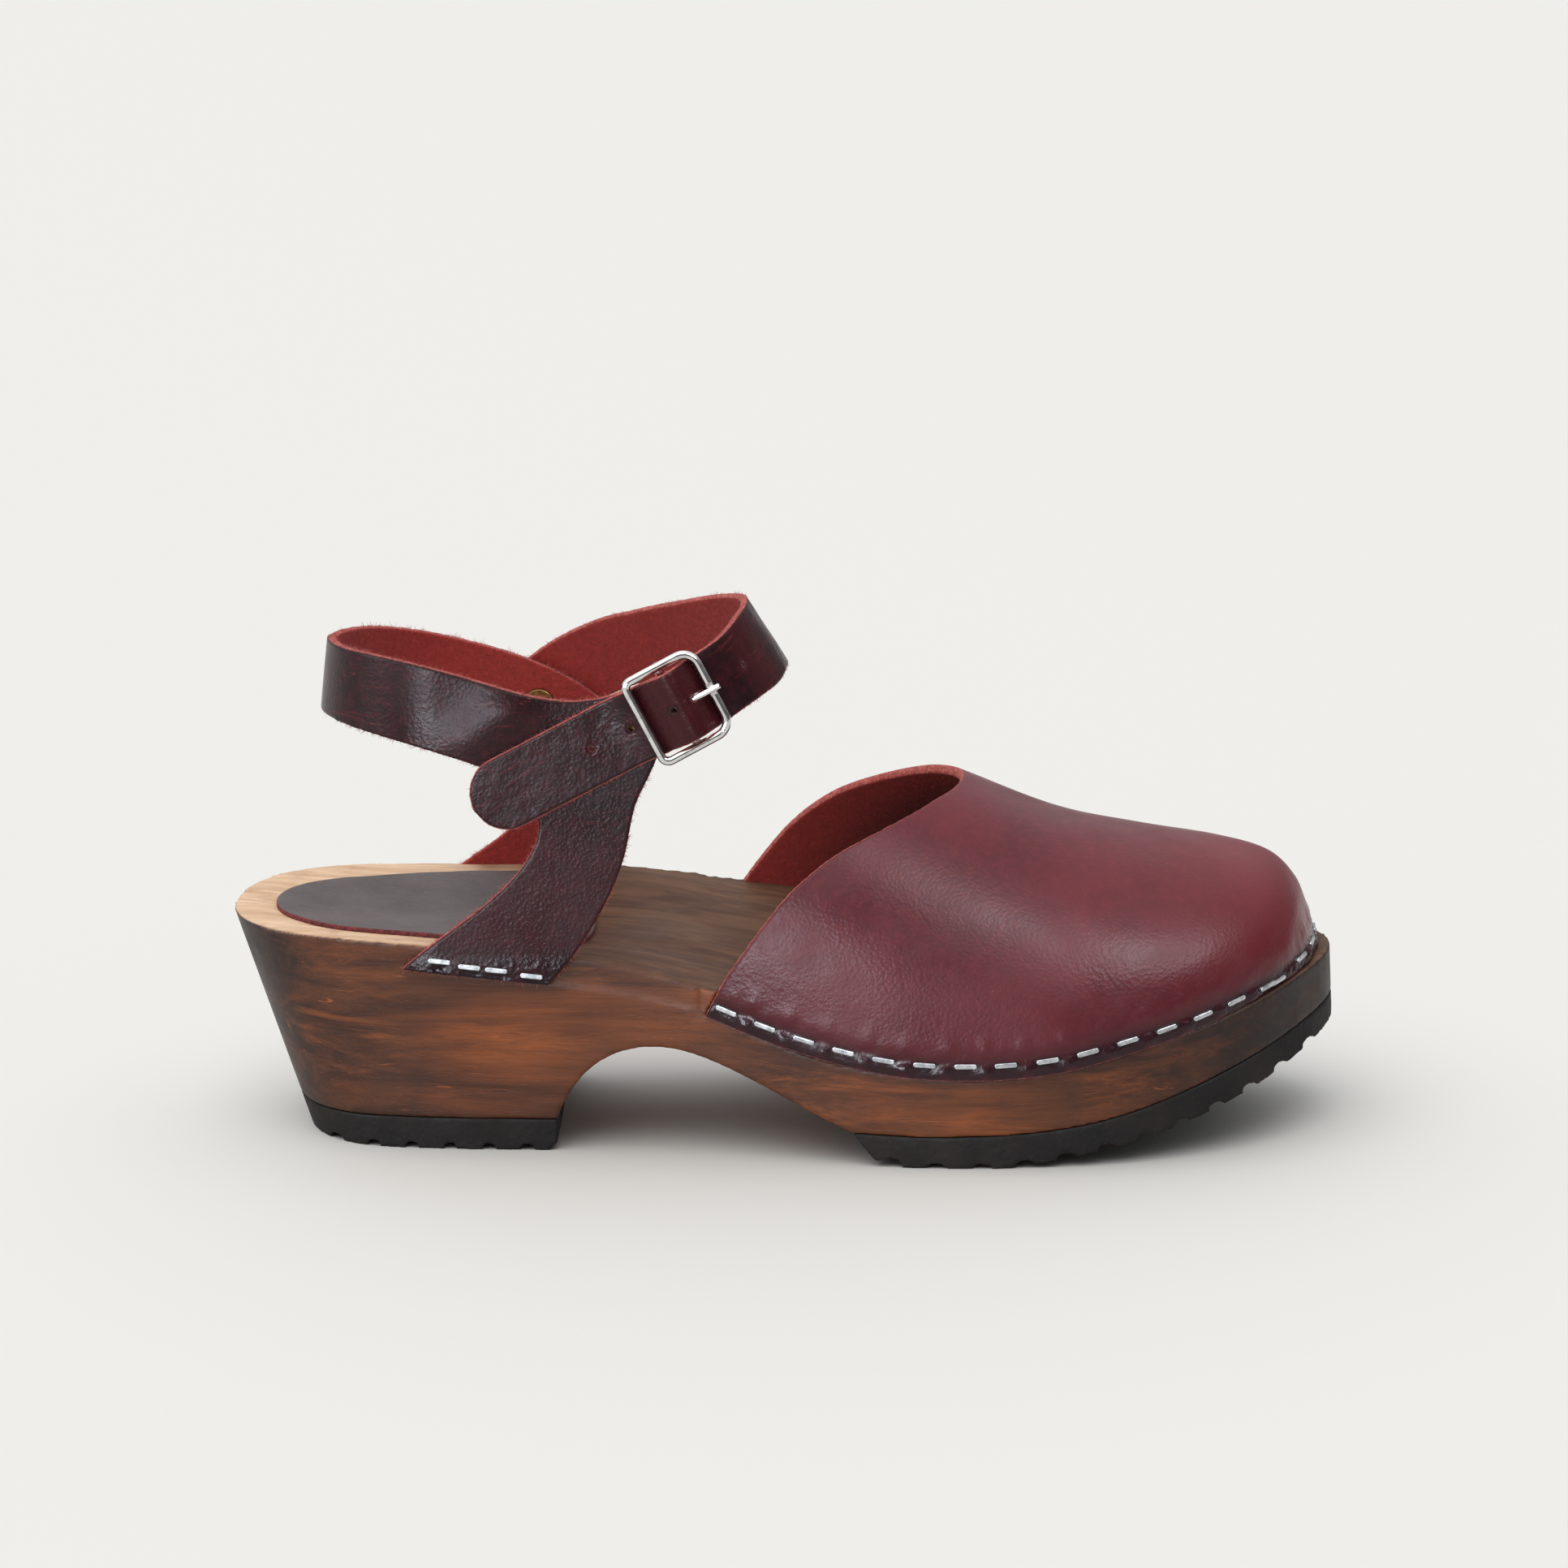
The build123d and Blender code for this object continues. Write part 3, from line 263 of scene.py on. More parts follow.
# -------------------------------- wood, rubber, metals
def stained_wood():
    """Dark-stained alder. Masks: bed 1 on the footbed, pale 1 on the sanded heel rim, burnt 1 at
    the heel's back and the toe, amber 1 on set patches of the sides, coloured a brighter orange."""
    g = Graph("stained_wood")
    lines = g.noise(1.0, 7, 0.68, 0.7, g.stretch((16, 190, 250), turn=(0, 0.03, 0)))
    fibres = g.noise(1.0, 8, 0.75, 0.4, g.stretch((60, 1500, 1900), turn=(0, 0.02, 0)))
    flames = g.noise(1.0, 7, 0.70, 0.9, g.stretch((14, 120, 170), turn=(0, -0.06, 0)))
    streak = g.noise(1.0, 4, 0.55, 0.5, g.stretch((36, 420, 640), turn=(0, -0.07, 0)))
    large = g.noise(1.0, 2, 0.5, 0.5, g.stretch((17, 26, 40)))
    blotch = g.noise(24, 4, 0.6, 0.5)
    colour = g.mix(g.span(lines, 0.34, 0.66), (66, 35, 22), (112, 62, 34))
    glow = g.sums("MULTIPLY", g.span(flames, 0.47, 0.70), g.span(large, 0.38, 0.62))
    colour = g.mix(g.sums("MULTIPLY", glow, 0.85), colour, (166, 90, 44))
    amber = g.sums("MULTIPLY", g.mask("amber"), g.span(flames, 0.30, 0.62, 0.25, 1.0))
    colour = g.mix(g.sums("MULTIPLY", amber, 0.85), colour, (182, 98, 46))
    colour = g.mix(g.sums("MULTIPLY", g.span(streak, 0.665, 0.74), 0.8), colour, (200, 112, 56))
    colour = g.mix(g.sums("MULTIPLY", g.span(fibres, 0.48, 0.70), 0.40), colour, (52, 30, 21))
    colour = g.mix(g.span(blotch, 0.50, 0.72, 0.0, 0.5), colour, (60, 38, 27))
    burnt = g.sums("MULTIPLY", g.mask("burnt"), g.span(lines, 0.2, 0.9, 1.0, 0.72))
    colour = g.mix(burnt, colour, (30, 22, 21))
    bed = g.mix(g.span(g.noise(1.0, 5, 0.6, 0.6, g.stretch((16, 260, 260))), 0.3, 0.7),
                (80, 52, 38), (116, 81, 58))
    bed = g.mix(g.span(g.noise(18, 3, 0.5, 0.5), 0.45, 0.72, 0.0, 0.75), bed, (84, 66, 50))
    bed = g.mix(g.sums("MULTIPLY", g.span(fibres, 0.5, 0.75), 0.4), bed, (70, 50, 36))
    pale = g.mix(g.span(g.noise(1.0, 6, 0.65, 0.5, g.stretch((40, 420, 420))), 0.3, 0.75),
                 (204, 166, 134), (238, 208, 176))
    pale = g.mix(g.span(g.noise(80, 4, 0.6), 0.50, 0.75, 0.0, 0.55), pale, (150, 104, 70))
    bed = g.mix(g.mask("pale"), bed, pale)
    colour = g.mix(g.mask("bed"), colour, bed)
    dust = g.span(g.cells(160), 0.03, 0.012)
    dust = g.sums("MULTIPLY", dust, g.span(g.noise(23, 1), 0.60, 0.64))
    colour = g.mix(g.sums("MULTIPLY", dust, 0.7), colour, (205, 175, 145))
    pores = g.span(g.noise(1.0, 3, 0.5, 0.3, g.stretch((190, 2600, 2600))), 0.60, 0.72)
    height = g.sums("SUBTRACT", g.sums("MULTIPLY", fibres, 0.8), g.sums("MULTIPLY", pores, 1.0))
    height = g.sums("ADD", height, g.sums("MULTIPLY", g.noise(1500, 3, 0.6), 0.5))
    polish = g.span(g.noise(75, 4, 0.6), 0.3, 0.75, 0.40, 0.56)
    polish = g.sums("ADD", polish, g.sums("MULTIPLY", g.mask("bed"), 0.14))
    g.shader.inputs["Specular IOR Level"].default_value = 0.30
    return g.finish(Base_Color=colour, Roughness=polish, Normal=g.bump(height, 0.00007, 0.8))


def rubber():
    g = Graph("black_rubber")
    colour = g.mix(g.span(g.noise(60, 4, 0.6), 0.35, 0.7), (21, 17, 17), (38, 31, 29))
    dusty = g.span(g.noise(700, 5, 0.75), 0.56, 0.75)
    colour = g.mix(g.sums("MULTIPLY", dusty, 0.4), colour, (70, 60, 54))
    colour = g.mix(g.sums("MULTIPLY", g.mask("rim"), 0.35), colour, (98, 66, 50))
    height = g.sums("ADD", g.noise(1100, 5, 0.7), g.cells(700))
    polish = g.span(g.noise(90, 3), 0.3, 0.7, 0.62, 0.82)
    g.shader.inputs["Specular IOR Level"].default_value = 0.25
    return g.finish(Base_Color=colour, Roughness=polish, Normal=g.bump(height, 0.00010, 0.8))


def metal(name, light, dark, rough, scratch, dirt=0.0):
    g = Graph(name)
    fine = g.noise(1.0, 3, 0.6, 0.2, g.stretch((500, 4000, 900), turn=(0.3, 0.5, 0.2)))
    cloud = g.noise(520, 4, 0.6)
    colour = g.mix(g.span(cloud, 0.35, 0.7), light, dark)
    grime = g.span(g.noise(900, 4, 0.7), 0.55, 0.75)
    colour = g.mix(g.sums("MULTIPLY", grime, dirt), colour, (40, 30, 24))
    polish = g.span(g.noise(800, 4, 0.6), 0.3, 0.75, rough - 0.04, rough + 0.10)
    height = g.sums("ADD", fine, g.sums("MULTIPLY", cloud, 1.5))
    return g.finish(Base_Color=colour, Roughness=polish, Metallic=1.0,
                    Normal=g.bump(height, scratch, 0.6))


wood_material = stained_wood()
rubber_material = rubber()
pad_material = pad_leather()
chrome = metal("polished_chrome", (226, 226, 224), (196, 196, 196), 0.10, 0.000006)
zinc = metal("bright_zinc", (196, 198, 201), (150, 154, 158), 0.28, 0.00001, 0.08)
brass = metal("antique_brass", (150, 118, 70), (104, 80, 48), 0.34, 0.00002, 0.35)


# -------------------------------- mesh helpers
def new_mesh(name, points, faces, masks, material):
    """Object from millimetre points, faces and named per-point masks."""
    mesh = bpy.data.meshes.new(name)
    mesh.from_pydata((np.asarray(points, float) * MM).tolist(), [], faces)
    bm = bmesh.new()
    bm.from_mesh(mesh)
    bmesh.ops.recalc_face_normals(bm, faces=bm.faces)
    bm.to_mesh(mesh)
    bm.free()
    obj = bpy.data.objects.new(name, mesh)
    bpy.context.scene.collection.objects.link(obj)
    paint(obj, masks)
    mesh.materials.append(material)
    mesh.polygons.foreach_set("use_smooth", [True] * len(mesh.polygons))
    mesh.update()
    return obj


def paint(obj, masks):
    """Named per-point masks, numbers or vectors, on a mesh."""
    for key, values in masks.items():
        values = np.asarray(values, np.float32)
        kind = "FLOAT_VECTOR" if values.ndim == 2 else "FLOAT"
        layer = obj.data.attributes.new(key, kind, "POINT")
        layer.data.foreach_set("vector" if values.ndim == 2 else "value", values.ravel())


def soften(node, name, voxel, rounds, material):
    """A CAD node's shape as one even skin with its sharp edges worn round; voxel in mm."""
    mesh = nodes[node].data.copy()
    obj = bpy.data.objects.new(name, mesh)
    bpy.context.scene.collection.objects.link(obj)
    bm = bmesh.new()
    bm.from_mesh(mesh)
    bmesh.ops.remove_doubles(bm, verts=bm.verts, dist=2e-6)
    bm.to_mesh(mesh)
    bm.free()
    even = obj.modifiers.new("even", "REMESH")
    even.mode = "VOXEL"
    even.voxel_size = voxel * MM
    worn = obj.modifiers.new("worn", "SMOOTH")
    worn.factor = 0.5
    worn.iterations = rounds
    graph = bpy.context.evaluated_depsgraph_get()
    obj.data = bpy.data.meshes.new_from_object(obj.evaluated_get(graph))
    obj.modifiers.clear()
    obj.data.materials.clear()
    obj.data.materials.append(material)
    obj.data.polygons.foreach_set("use_smooth", [True] * len(obj.data.polygons))
    return obj


def read_points(obj):
    count = len(obj.data.vertices)
    points, normals = np.zeros(count * 3), np.zeros(count * 3)
    obj.data.vertices.foreach_get("co", points)
    obj.data.vertices.foreach_get("normal", normals)
    return points.reshape(-1, 3) / MM, normals.reshape(-1, 3)


def write_points(obj, points):
    obj.data.vertices.foreach_set("co", (points * MM).ravel())
    obj.data.update()


def settle(obj, body, slot, *cad):
    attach(obj, body)
    if cad:
        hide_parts(*cad)
    return obj


def rough_field(points, scale, seed=0.0):
    """Smooth random value from -1 to 1 at each point, features about scale millimetres."""
    return np.array([noise.noise(Vector(p) / scale + Vector((seed, seed, seed)))
                     for p in points])


# -------------------------------- wooden sole
PAD_OUTLINE = [(-119, 0), (-116, -10.5), (-107, -18.5), (-93, -22.8), (-73, -25.5),
               (-55, -24.3), (-47, -18), (-44.5, 0), (-47, 18), (-55, 24.3), (-73, 25.5),
               (-93, 22.8), (-107, 18.5), (-116, 10.5)]

RIM_OUTER = [(-140, 51.3), (-112, 51.3), (-95, 50.7), (-67, 48.7), (-41, 46), (-16, 39.9),
             (10, 33), (25, 30.3), (45, 28.8), (62, 30.5), (80, 34), (100, 39.6), (115, 43),
             (140, 46)]
RIM_INNER = [(-140, 51.8), (-112, 52.2), (-80, 51.8), (-52, 52), (-37, 51.7), (-10, 48.2),
             (4, 46), (20, 40.5), (40, 34.5), (60, 32.5), (80, 34.8), (100, 39.6), (115, 43),
             (140, 46)]
HALF_WIDTH = [(-140, 32), (-95, 32.5), (-52, 34), (-15, 36.5), (14, 41.5), (45, 45.3),
              (76, 42.7), (96, 37), (112, 30), (140, 26)]
DISH = [(-140, 4.5), (-60, 4.5), (-20, 3.5), (40, 3), (140, 1.5)]
TOPLINE = [(-17.8, 34.1), (-12.2, 44.6), (-1.2, 59.7), (6.1, 66.7), (15.2, 72.3),
           (33.9, 79.2), (41.9, 80.9)]


def topline_x(z):
    if z > 80.9:
        return 41.9 + (z - 80.9) * 3
    if z < 34.1:
        return -17.8 + (z - 34.1) * 0.5
    return smooth(z, [(b, a) for a, b in TOPLINE])


wood = soften("wooden_sole", "wooden_sole_skin", 0.5, 9, wood_material)
P, N = read_points(wood)
# carry the full width of the wood on to the edge of the leather front
REBATE_FROM, REBATE_FLOOR, SHORT_OF_EDGE = -21.4, 33.2, 0.15
STRETCH = 2                 # width of the strip beside the wall that is stretched out to it
bare = (P[:, 0] > REBATE_FROM) & (P[:, 2] > REBATE_FLOOR)
bare &= P[:, 0] < np.array([topline_x(pz) for pz in P[:, 2]]) - SHORT_OF_EDGE
for side, rim in ((-1, RIM_OUTER), (1, RIM_INNER)):
    across = P[:, 1] * side
    upright = N[:, 1] * side > 0.6
    half = np.array([smooth(px, HALF_WIDTH) for px in P[:, 0]])
    below = P[:, 2] - np.array([smooth(px, rim) for px in P[:, 0]])
    sample = (P[:, 0] > -23.5) & (P[:, 0] < -21.5) & upright & (across > 28)
    levels = np.arange(-14, -0.4, 0.5)
    full = [max([(across / half)[i] for i in np.nonzero(sample & (abs(below - q) < 0.5))[0]])
            for q in levels]
    slabs = np.arange(-21.2, -8.5, 0.7)
    recess = bare & upright & (across > 28) & (below < -1.2)
    beside = [(q, across[recess & (abs(P[:, 0] - q) < 0.5)]) for q in slabs]
    beside = [(q, np.median(found)) for q, found in beside if len(found)]
    wall = np.interp(P[:, 0], [q for q, _ in beside], [w for _, w in beside])
    reach = np.interp(below, levels, full) * half
    share = np.clip((across - wall + STRETCH) / STRETCH, 0, 1)
    moved = bare & (share > 0) & (reach > wall) & (below > -13)
    P[moved, 1] = side * (wall - STRETCH + share * (reach - wall + STRETCH))[moved]
write_points(wood, P)
SEAM_X, SEAM_HALF, SEAM_FLOOR = -19.8, 1.9, 31
seam = wood.vertex_groups.new(name="seam")
near_seam = (abs(P[:, 0] - SEAM_X) < SEAM_HALF) & (P[:, 2] > SEAM_FLOOR)
seam.add([int(i) for i in np.nonzero(near_seam)[0]], 1.0, "REPLACE")
blend_in = wood.modifiers.new("blend_in", "SMOOTH")
blend_in.vertex_group = "seam"
blend_in.iterations = 14
even_graph = bpy.context.evaluated_depsgraph_get()
wood.data = bpy.data.meshes.new_from_object(wood.evaluated_get(even_graph))
wood.modifiers.clear()
wood.vertex_groups.clear()
P, N = read_points(wood)
upward = ease(N[:, 2], 0.55, 0.85)
above = ease(P[:, 2], 18, 30)
x, y, z = P.T
bed = upward * above
pale = ease(-x, 40, 96) * (1 - 0.35 * ease(-x, 20, 60) * ease(-y, -10, 25) * ease(x, -80, -40))
tone = ease(-x, 100, 124) + ease(x, 62, 112)
tone = np.clip(tone + 0.35 * ease(-z, -16, -8) * ease(np.abs(x + 75), 60, 20), 0, 1)
amber = np.exp(-((x + 62) / 17) ** 2 - ((z - 27) / 9) ** 2)
amber = np.maximum(amber, 0.6 * np.exp(-((x + 72) / 20) ** 2 - ((z - 11) / 4) ** 2))
amber = np.maximum(amber, 0.8 * np.exp(-((x - 40) / 34) ** 2 - ((z - 13) / 8) ** 2))
amber = np.maximum(amber, 0.6 * np.exp(-((x + 28) / 20) ** 2 - ((z - 31) / 5) ** 2))
paint(wood, {"bed": bed, "pale": pale, "burnt": tone, "amber": amber})
settle(wood, "clog", "stained_wood", "wooden_sole")

# -------------------------------- treads
for node, voxel in (("heel_tread", 0.42), ("forefoot_tread", 0.42)):
    tread = soften(node, node + "_skin", voxel, 2, rubber_material)
    P, N = read_points(tread)
    lump = rough_field(P, 1.1) + 0.7 * rough_field(P, 0.45, 5)
    down = ease(-N[:, 2], 0.1, 0.6)
    P += N * (lump * (0.05 + 0.06 * down))[:, None]
    P[:, 2] = np.maximum(P[:, 2], 0)
    write_points(tread, P)
    paint(tread, {"rim": ease(lump, 0.25, 0.7) * down})
    settle(tread, "clog", "rubber", node)


# -------------------------------- heel pad
def footbed_z(x, y):
    outer, inner, half = smooth(x, RIM_OUTER), smooth(x, RIM_INNER), smooth(x, HALF_WIDTH)
    level = (outer + inner) / 2 + (inner - outer) / 2 * max(-1.2, min(1.2, y / half))
    r2 = (y / half) ** 2 + (min(0, x + 95) / 33) ** 2
    return level - smooth(x, DISH) * max(0, 1 - r2) ** 2


def closed_curve(points, count):
    ring = [points[(n - 1) % len(points)] for n in range(len(points) + 3)]
    return [glide(ring, 1 + len(points) * i / count) for i in range(count)]


def heel_pad():
    around, rings = 300, 46
    rim = closed_curve(PAD_OUTLINE, around)
    points, faces, raw = [], [], []
    profile = [(n / rings, 1.3, 0) for n in range(1, rings)]
    profile += [(1.0 - 0.014, 1.28, 0.0), (0.9975, 1.12, 0.55), (1.0, 0.75, 1), (1.0, 0.3, 1),
                (0.998, 0.02, 1)]
    profile += [(n / rings, 0.02, 1) for n in range(rings - 1, 0, -3)]
    centre = (-80.0, 0.0)
    for share, lift, edge in profile:
        for bx, by in rim:
            px = centre[0] + (bx - centre[0]) * share
            py = centre[1] + (by - centre[1]) * share
            wave = 0.10 * noise.noise(Vector((px / 6, py / 6, 3.1)))
            points.append((px, py, footbed_z(px, py) + lift + wave * (lift > 0.5)))
            raw.append(edge)
    rows = len(profile)
    for r in range(rows - 1):
        for i in range(around):
            j = (i + 1) % around
            faces.append((r * around + i, r * around + j, (r + 1) * around + j,
                          (r + 1) * around + i))
    for row, flip in ((0, False), (rows - 1, True)):
        px, py = centre
        points.append((px, py, footbed_z(px, py) + profile[row][1]))
        raw.append(profile[row][2])
        hub = len(points) - 1
        for i in range(around):
            a, b = row * around + i, row * around + (i + 1) % around
            faces.append((hub, b, a) if not flip else (hub, a, b))
    faces = [tuple(reversed(f)) for f in faces]
    obj = new_mesh("heel_pad_leather", points, faces, {"raw": raw}, pad_material)
    return settle(obj, "clog", "pad_leather", "heel_pad")


heel_pad()

# -------------------------------- leather front
VAMP_RIBS = [
    (-22, 3, 104, -22, -35.6, 35.8, -22, 34.8, 35.8, 0),
    (0, 4, 97, 0, -40.0, 27.9, 0, 37.6, 27.9, 0),
    (22, 5, 88.5, 22, -43.4, 22.8, 22, 42.2, 22.8, 0),
    (41.7, 6, 80.7, 41.7, -44.4, 21.6, 41.7, 45.0, 21.6, 0),
    (62.7, 6.5, 72.2, 60, -43.7, 22.9, 60, 45.5, 22.9, 0),
    (82, 7, 68.0, 76, -40.9, 26.3, 77, 43.7, 26.5, 0),
    (100.8, 7.5, 64.9, 90, -36.0, 29.8, 92, 40.0, 30.4, 0.05),
    (113, 8, 61.3, 100.5, -30.2, 32.8, 103, 35.8, 33.6, 0.15),
    (119.6, 8.3, 55.0, 107, -25.4, 34.8, 110, 31.4, 35.7, 0.35),
    (122.6, 8.5, 47.5, 110, -22.6, 35.7, 113.2, 28.9, 36.7, 0.65),
    (125, 8.7, 40.0, 112.3, -20.0, 36.4, 115.7, 26.4, 37.4, 1.0),
]
RIB_TABLE = {}


def rib(k):
    key = round(k, 5)
    if key not in RIB_TABLE:
        RIB_TABLE[key] = glide(VAMP_RIBS, key * (len(VAMP_RIBS) - 1))
    return RIB_TABLE[key]


def vamp_point(k, v):
    """Outer surface of the leather front: k from ankle to toe, v from outer to inner foot."""
    row = rib(min(max(k, 0), 1))
    crown, outer, inner, lean = Vector(row[0:3]), Vector(row[3:6]), Vector(row[6:9]), row[9]
    share = (crown.y - outer.y) / (inner.y - outer.y)
    base = outer + (inner - outer) * share
    foot = outer if v < 0.5 else inner
    t = 2 * v if v < 0.5 else 2 - 2 * v
    rise = crown - base
    inward = Vector((0, (crown.y - foot.y) * 0.35 * lean, 0))
    hold_foot = foot + (rise + inward) * 0.60
    hold_crown = crown + (foot - base) * 0.58
    return (foot * (1 - t) ** 3 + hold_foot * (3 * t * (1 - t) ** 2)
            + hold_crown * (3 * t * t * (1 - t)) + crown * t**3)


def vamp_normal(k, v):
    d = 1e-3
    k0, k1, v0, v1 = max(k - d, 0), min(k + d, 1), max(v - d, 0), min(v + d, 1)
    along = vamp_point(k1, v) - vamp_point(k0, v)
    across = vamp_point(k, v1) - vamp_point(k, v0)
    return across.cross(along).normalized() * -1


def vamp_start(v):
    """k where the leather front begins in column v."""
    low, high = 0.0, 0.6
    for _ in range(22):
        middle = (low + high) / 2
        p = vamp_point(middle, v)
        if p.x < topline_x(p.z):
            low = middle
        else:
            high = middle
    return high


RIM_RAW = 0.42              # how far a cut edge shows on the faces beside it

# staple centres along the lower edge
PITCH, STEPS = 9.3, 500
FIRST_STAPLE_X, ABOVE_EDGE = -13.4, 3.3
VAMP_THICK = 2.3
walk = ([(n / STEPS, 0) for n in range(STEPS)] + [(1, n / STEPS) for n in range(STEPS)]
        + [(1 - n / STEPS, 1) for n in range(STEPS + 1)])
staples, staple_dirs, walked = [], [], None
for n, (k, v) in enumerate(walk[:-1]):
    here, ahead = vamp_point(k, v), vamp_point(*walk[n + 1])
    if here.x < FIRST_STAPLE_X:
        continue
    step = (ahead - here).length
    walked = 0.0 if walked is None else walked
    if walked <= 0:
        inside = vamp_point(k if k < 1 else 0.985, min(max(v, 0.03), 0.97))
        staples.append(here + (inside - here).normalized() * ABOVE_EDGE)
        staple_dirs.append((ahead - here).normalized())
        walked += PITCH
    walked -= step


def tree_of(places):
    tree = KDTree(len(places))
    for i, p in enumerate(places):
        tree.insert(p, i)
    tree.balance()
    return tree


def build_vamp():
    columns, rows = ((360, 260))
    edge_points = [vamp_point(k, v) for k, v in
                   [(i / 400, 0) for i in range(401)] + [(1, i / 240) for i in range(241)]
                   + [(i / 400, 1) for i in range(401)]]
    edge_tree, staple_tree = tree_of(edge_points), tree_of(staples)
    outer, inner, press, redden, flat = [], [], [], [], []
    for j in range(columns + 1):
        v = j / columns
        start = vamp_start(v)
        for i in range(rows + 1):
            k = start + (1 - start) * i / rows
            p, nrm = vamp_point(k, v), vamp_normal(k, v)
            _, _, e = edge_tree.find(p)
            centre, index, _ = staple_tree.find(p)
            away = p - centre
            side = abs(away.dot(staple_dirs[index]))
            between = float(ease(side, 1.9, 4.4))
            band = math.exp(-((e - 1.7) / 2.0) ** 2)
            puff = 0.55 * band * (0.15 + 0.85 * between)
            valley = -0.34 * math.exp(-((e - 3.9) / 1.3) ** 2) * between
            pinch = -0.10 * math.exp(-((e - 3.3) / 1.0) ** 2) * (1 - between)
            swell = 0.30 * math.exp(-((e - 7.2) / 2.6) ** 2) * (0.45 + 0.55 * between)
            near = math.exp(-((e - 4.0) / 5.0) ** 2)
            ripple = 0.16 * near * noise.noise(p / 2.6)
            wide = 0.10 * noise.noise(p / 17 + Vector((7, 1, 2)))
            crush = 0.16 * band * noise.noise(p / 0.9)
            lift = puff + valley + pinch + swell + ripple + wide + crush
            if e < 0.6:
                lift *= 0.45 + 0.55 * e / 0.6
            outer.append(p + nrm * lift)
            inner.append(p - nrm * VAMP_THICK)
            dark = band * (0.45 + 0.55 * (1 - between)) + 0.35 * math.exp(-((e - 3) / 3.2) ** 2)
            # painted shade: the leather front darker within about 13 mm of its lower edge
            dark += 0.22 * math.exp(-(e / 13) ** 2)
            press.append(min(1, dark))
            toe = float(ease(p.x, 70, 112)) * float(ease(p.z, 34, 50))
            redden.append(min(1, 0.9 * toe + 0.25 * float(ease(p.z, 60, 40))))
            flat.append((p.x * MM, (j / columns) * 0.2, 0))
    count = len(outer)
    width = rows + 1
    faces = []
    for j in range(columns):
        for i in range(rows):
            a, b, c, d = (j * width + i, (j + 1) * width + i, (j + 1) * width + i + 1,
                          j * width + i + 1)
            faces.append((a, b, c, d))
            faces.append((count + d, count + c, count + b, count + a))
    points = outer + inner
    shade = [0.9 * float(ease(i % (rows + 1), 2, rows * 0.14)) for i in range(count)]
    masks = {"flesh": [0.0] * count + [1.0] * count, "raw": [0.0] * (2 * count),
             "press": press + shade, "redden": redden + [0.0] * count,
             "flat": flat + flat}
    border = ([j * width for j in range(columns + 1)]
              + [columns * width + i for i in range(1, width)]
              + [j * width + rows for j in range(columns - 1, -1, -1)]
              + [i for i in range(rows - 1, 0, -1)])
    ring_rows = [border]
    size = len(border)
    segments = 5
    for s in range(1, segments):
        angle = math.pi * s / segments
        row = []
        for n, i in enumerate(border):
            a, b = outer[border[n - 1]], outer[border[(n + 1) % size]]
            top, low = outer[i], inner[i]
            along = (b - a).normalized()
            nrm = (top - low).normalized()
            out = along.cross(nrm).normalized()
            probe_i = i + (1 if i % width == 0 else -1 if i % width == rows else 0)
            if probe_i == i:
                probe_i = i + width if i < width else i - width
            if out.dot(outer[probe_i] - top) > 0:
                out = -out
            fuzz = 1 + 0.5 * noise.noise(top / 0.8)
            middle = (top + low) / 2
            p = middle + nrm * (math.cos(angle) * (top - low).length / 2)
            p = p + out * (math.sin(angle) * 0.38 * fuzz)
            row.append(len(points))
            points.append(p)
            for key in ("flesh", "press", "redden"):
                masks[key].append(0.0)
            masks["raw"].append(1.0)
            masks["flat"].append((0, 0, 0))
        ring_rows.append(row)
    ring_rows.append([count + i for i in border])
    for i in border:
        masks["raw"][i] = masks["raw"][count + i] = RIM_RAW
    for upper, lower in zip(ring_rows, ring_rows[1:]):
        for n in range(size):
            m = (n + 1) % size
            faces.append((upper[n], lower[n], lower[m], upper[m]))
    obj = new_mesh("vamp_leather", points, faces, masks, vamp_leather)
    return settle(obj, "clog", "burgundy_leather", "vamp")


build_vamp()


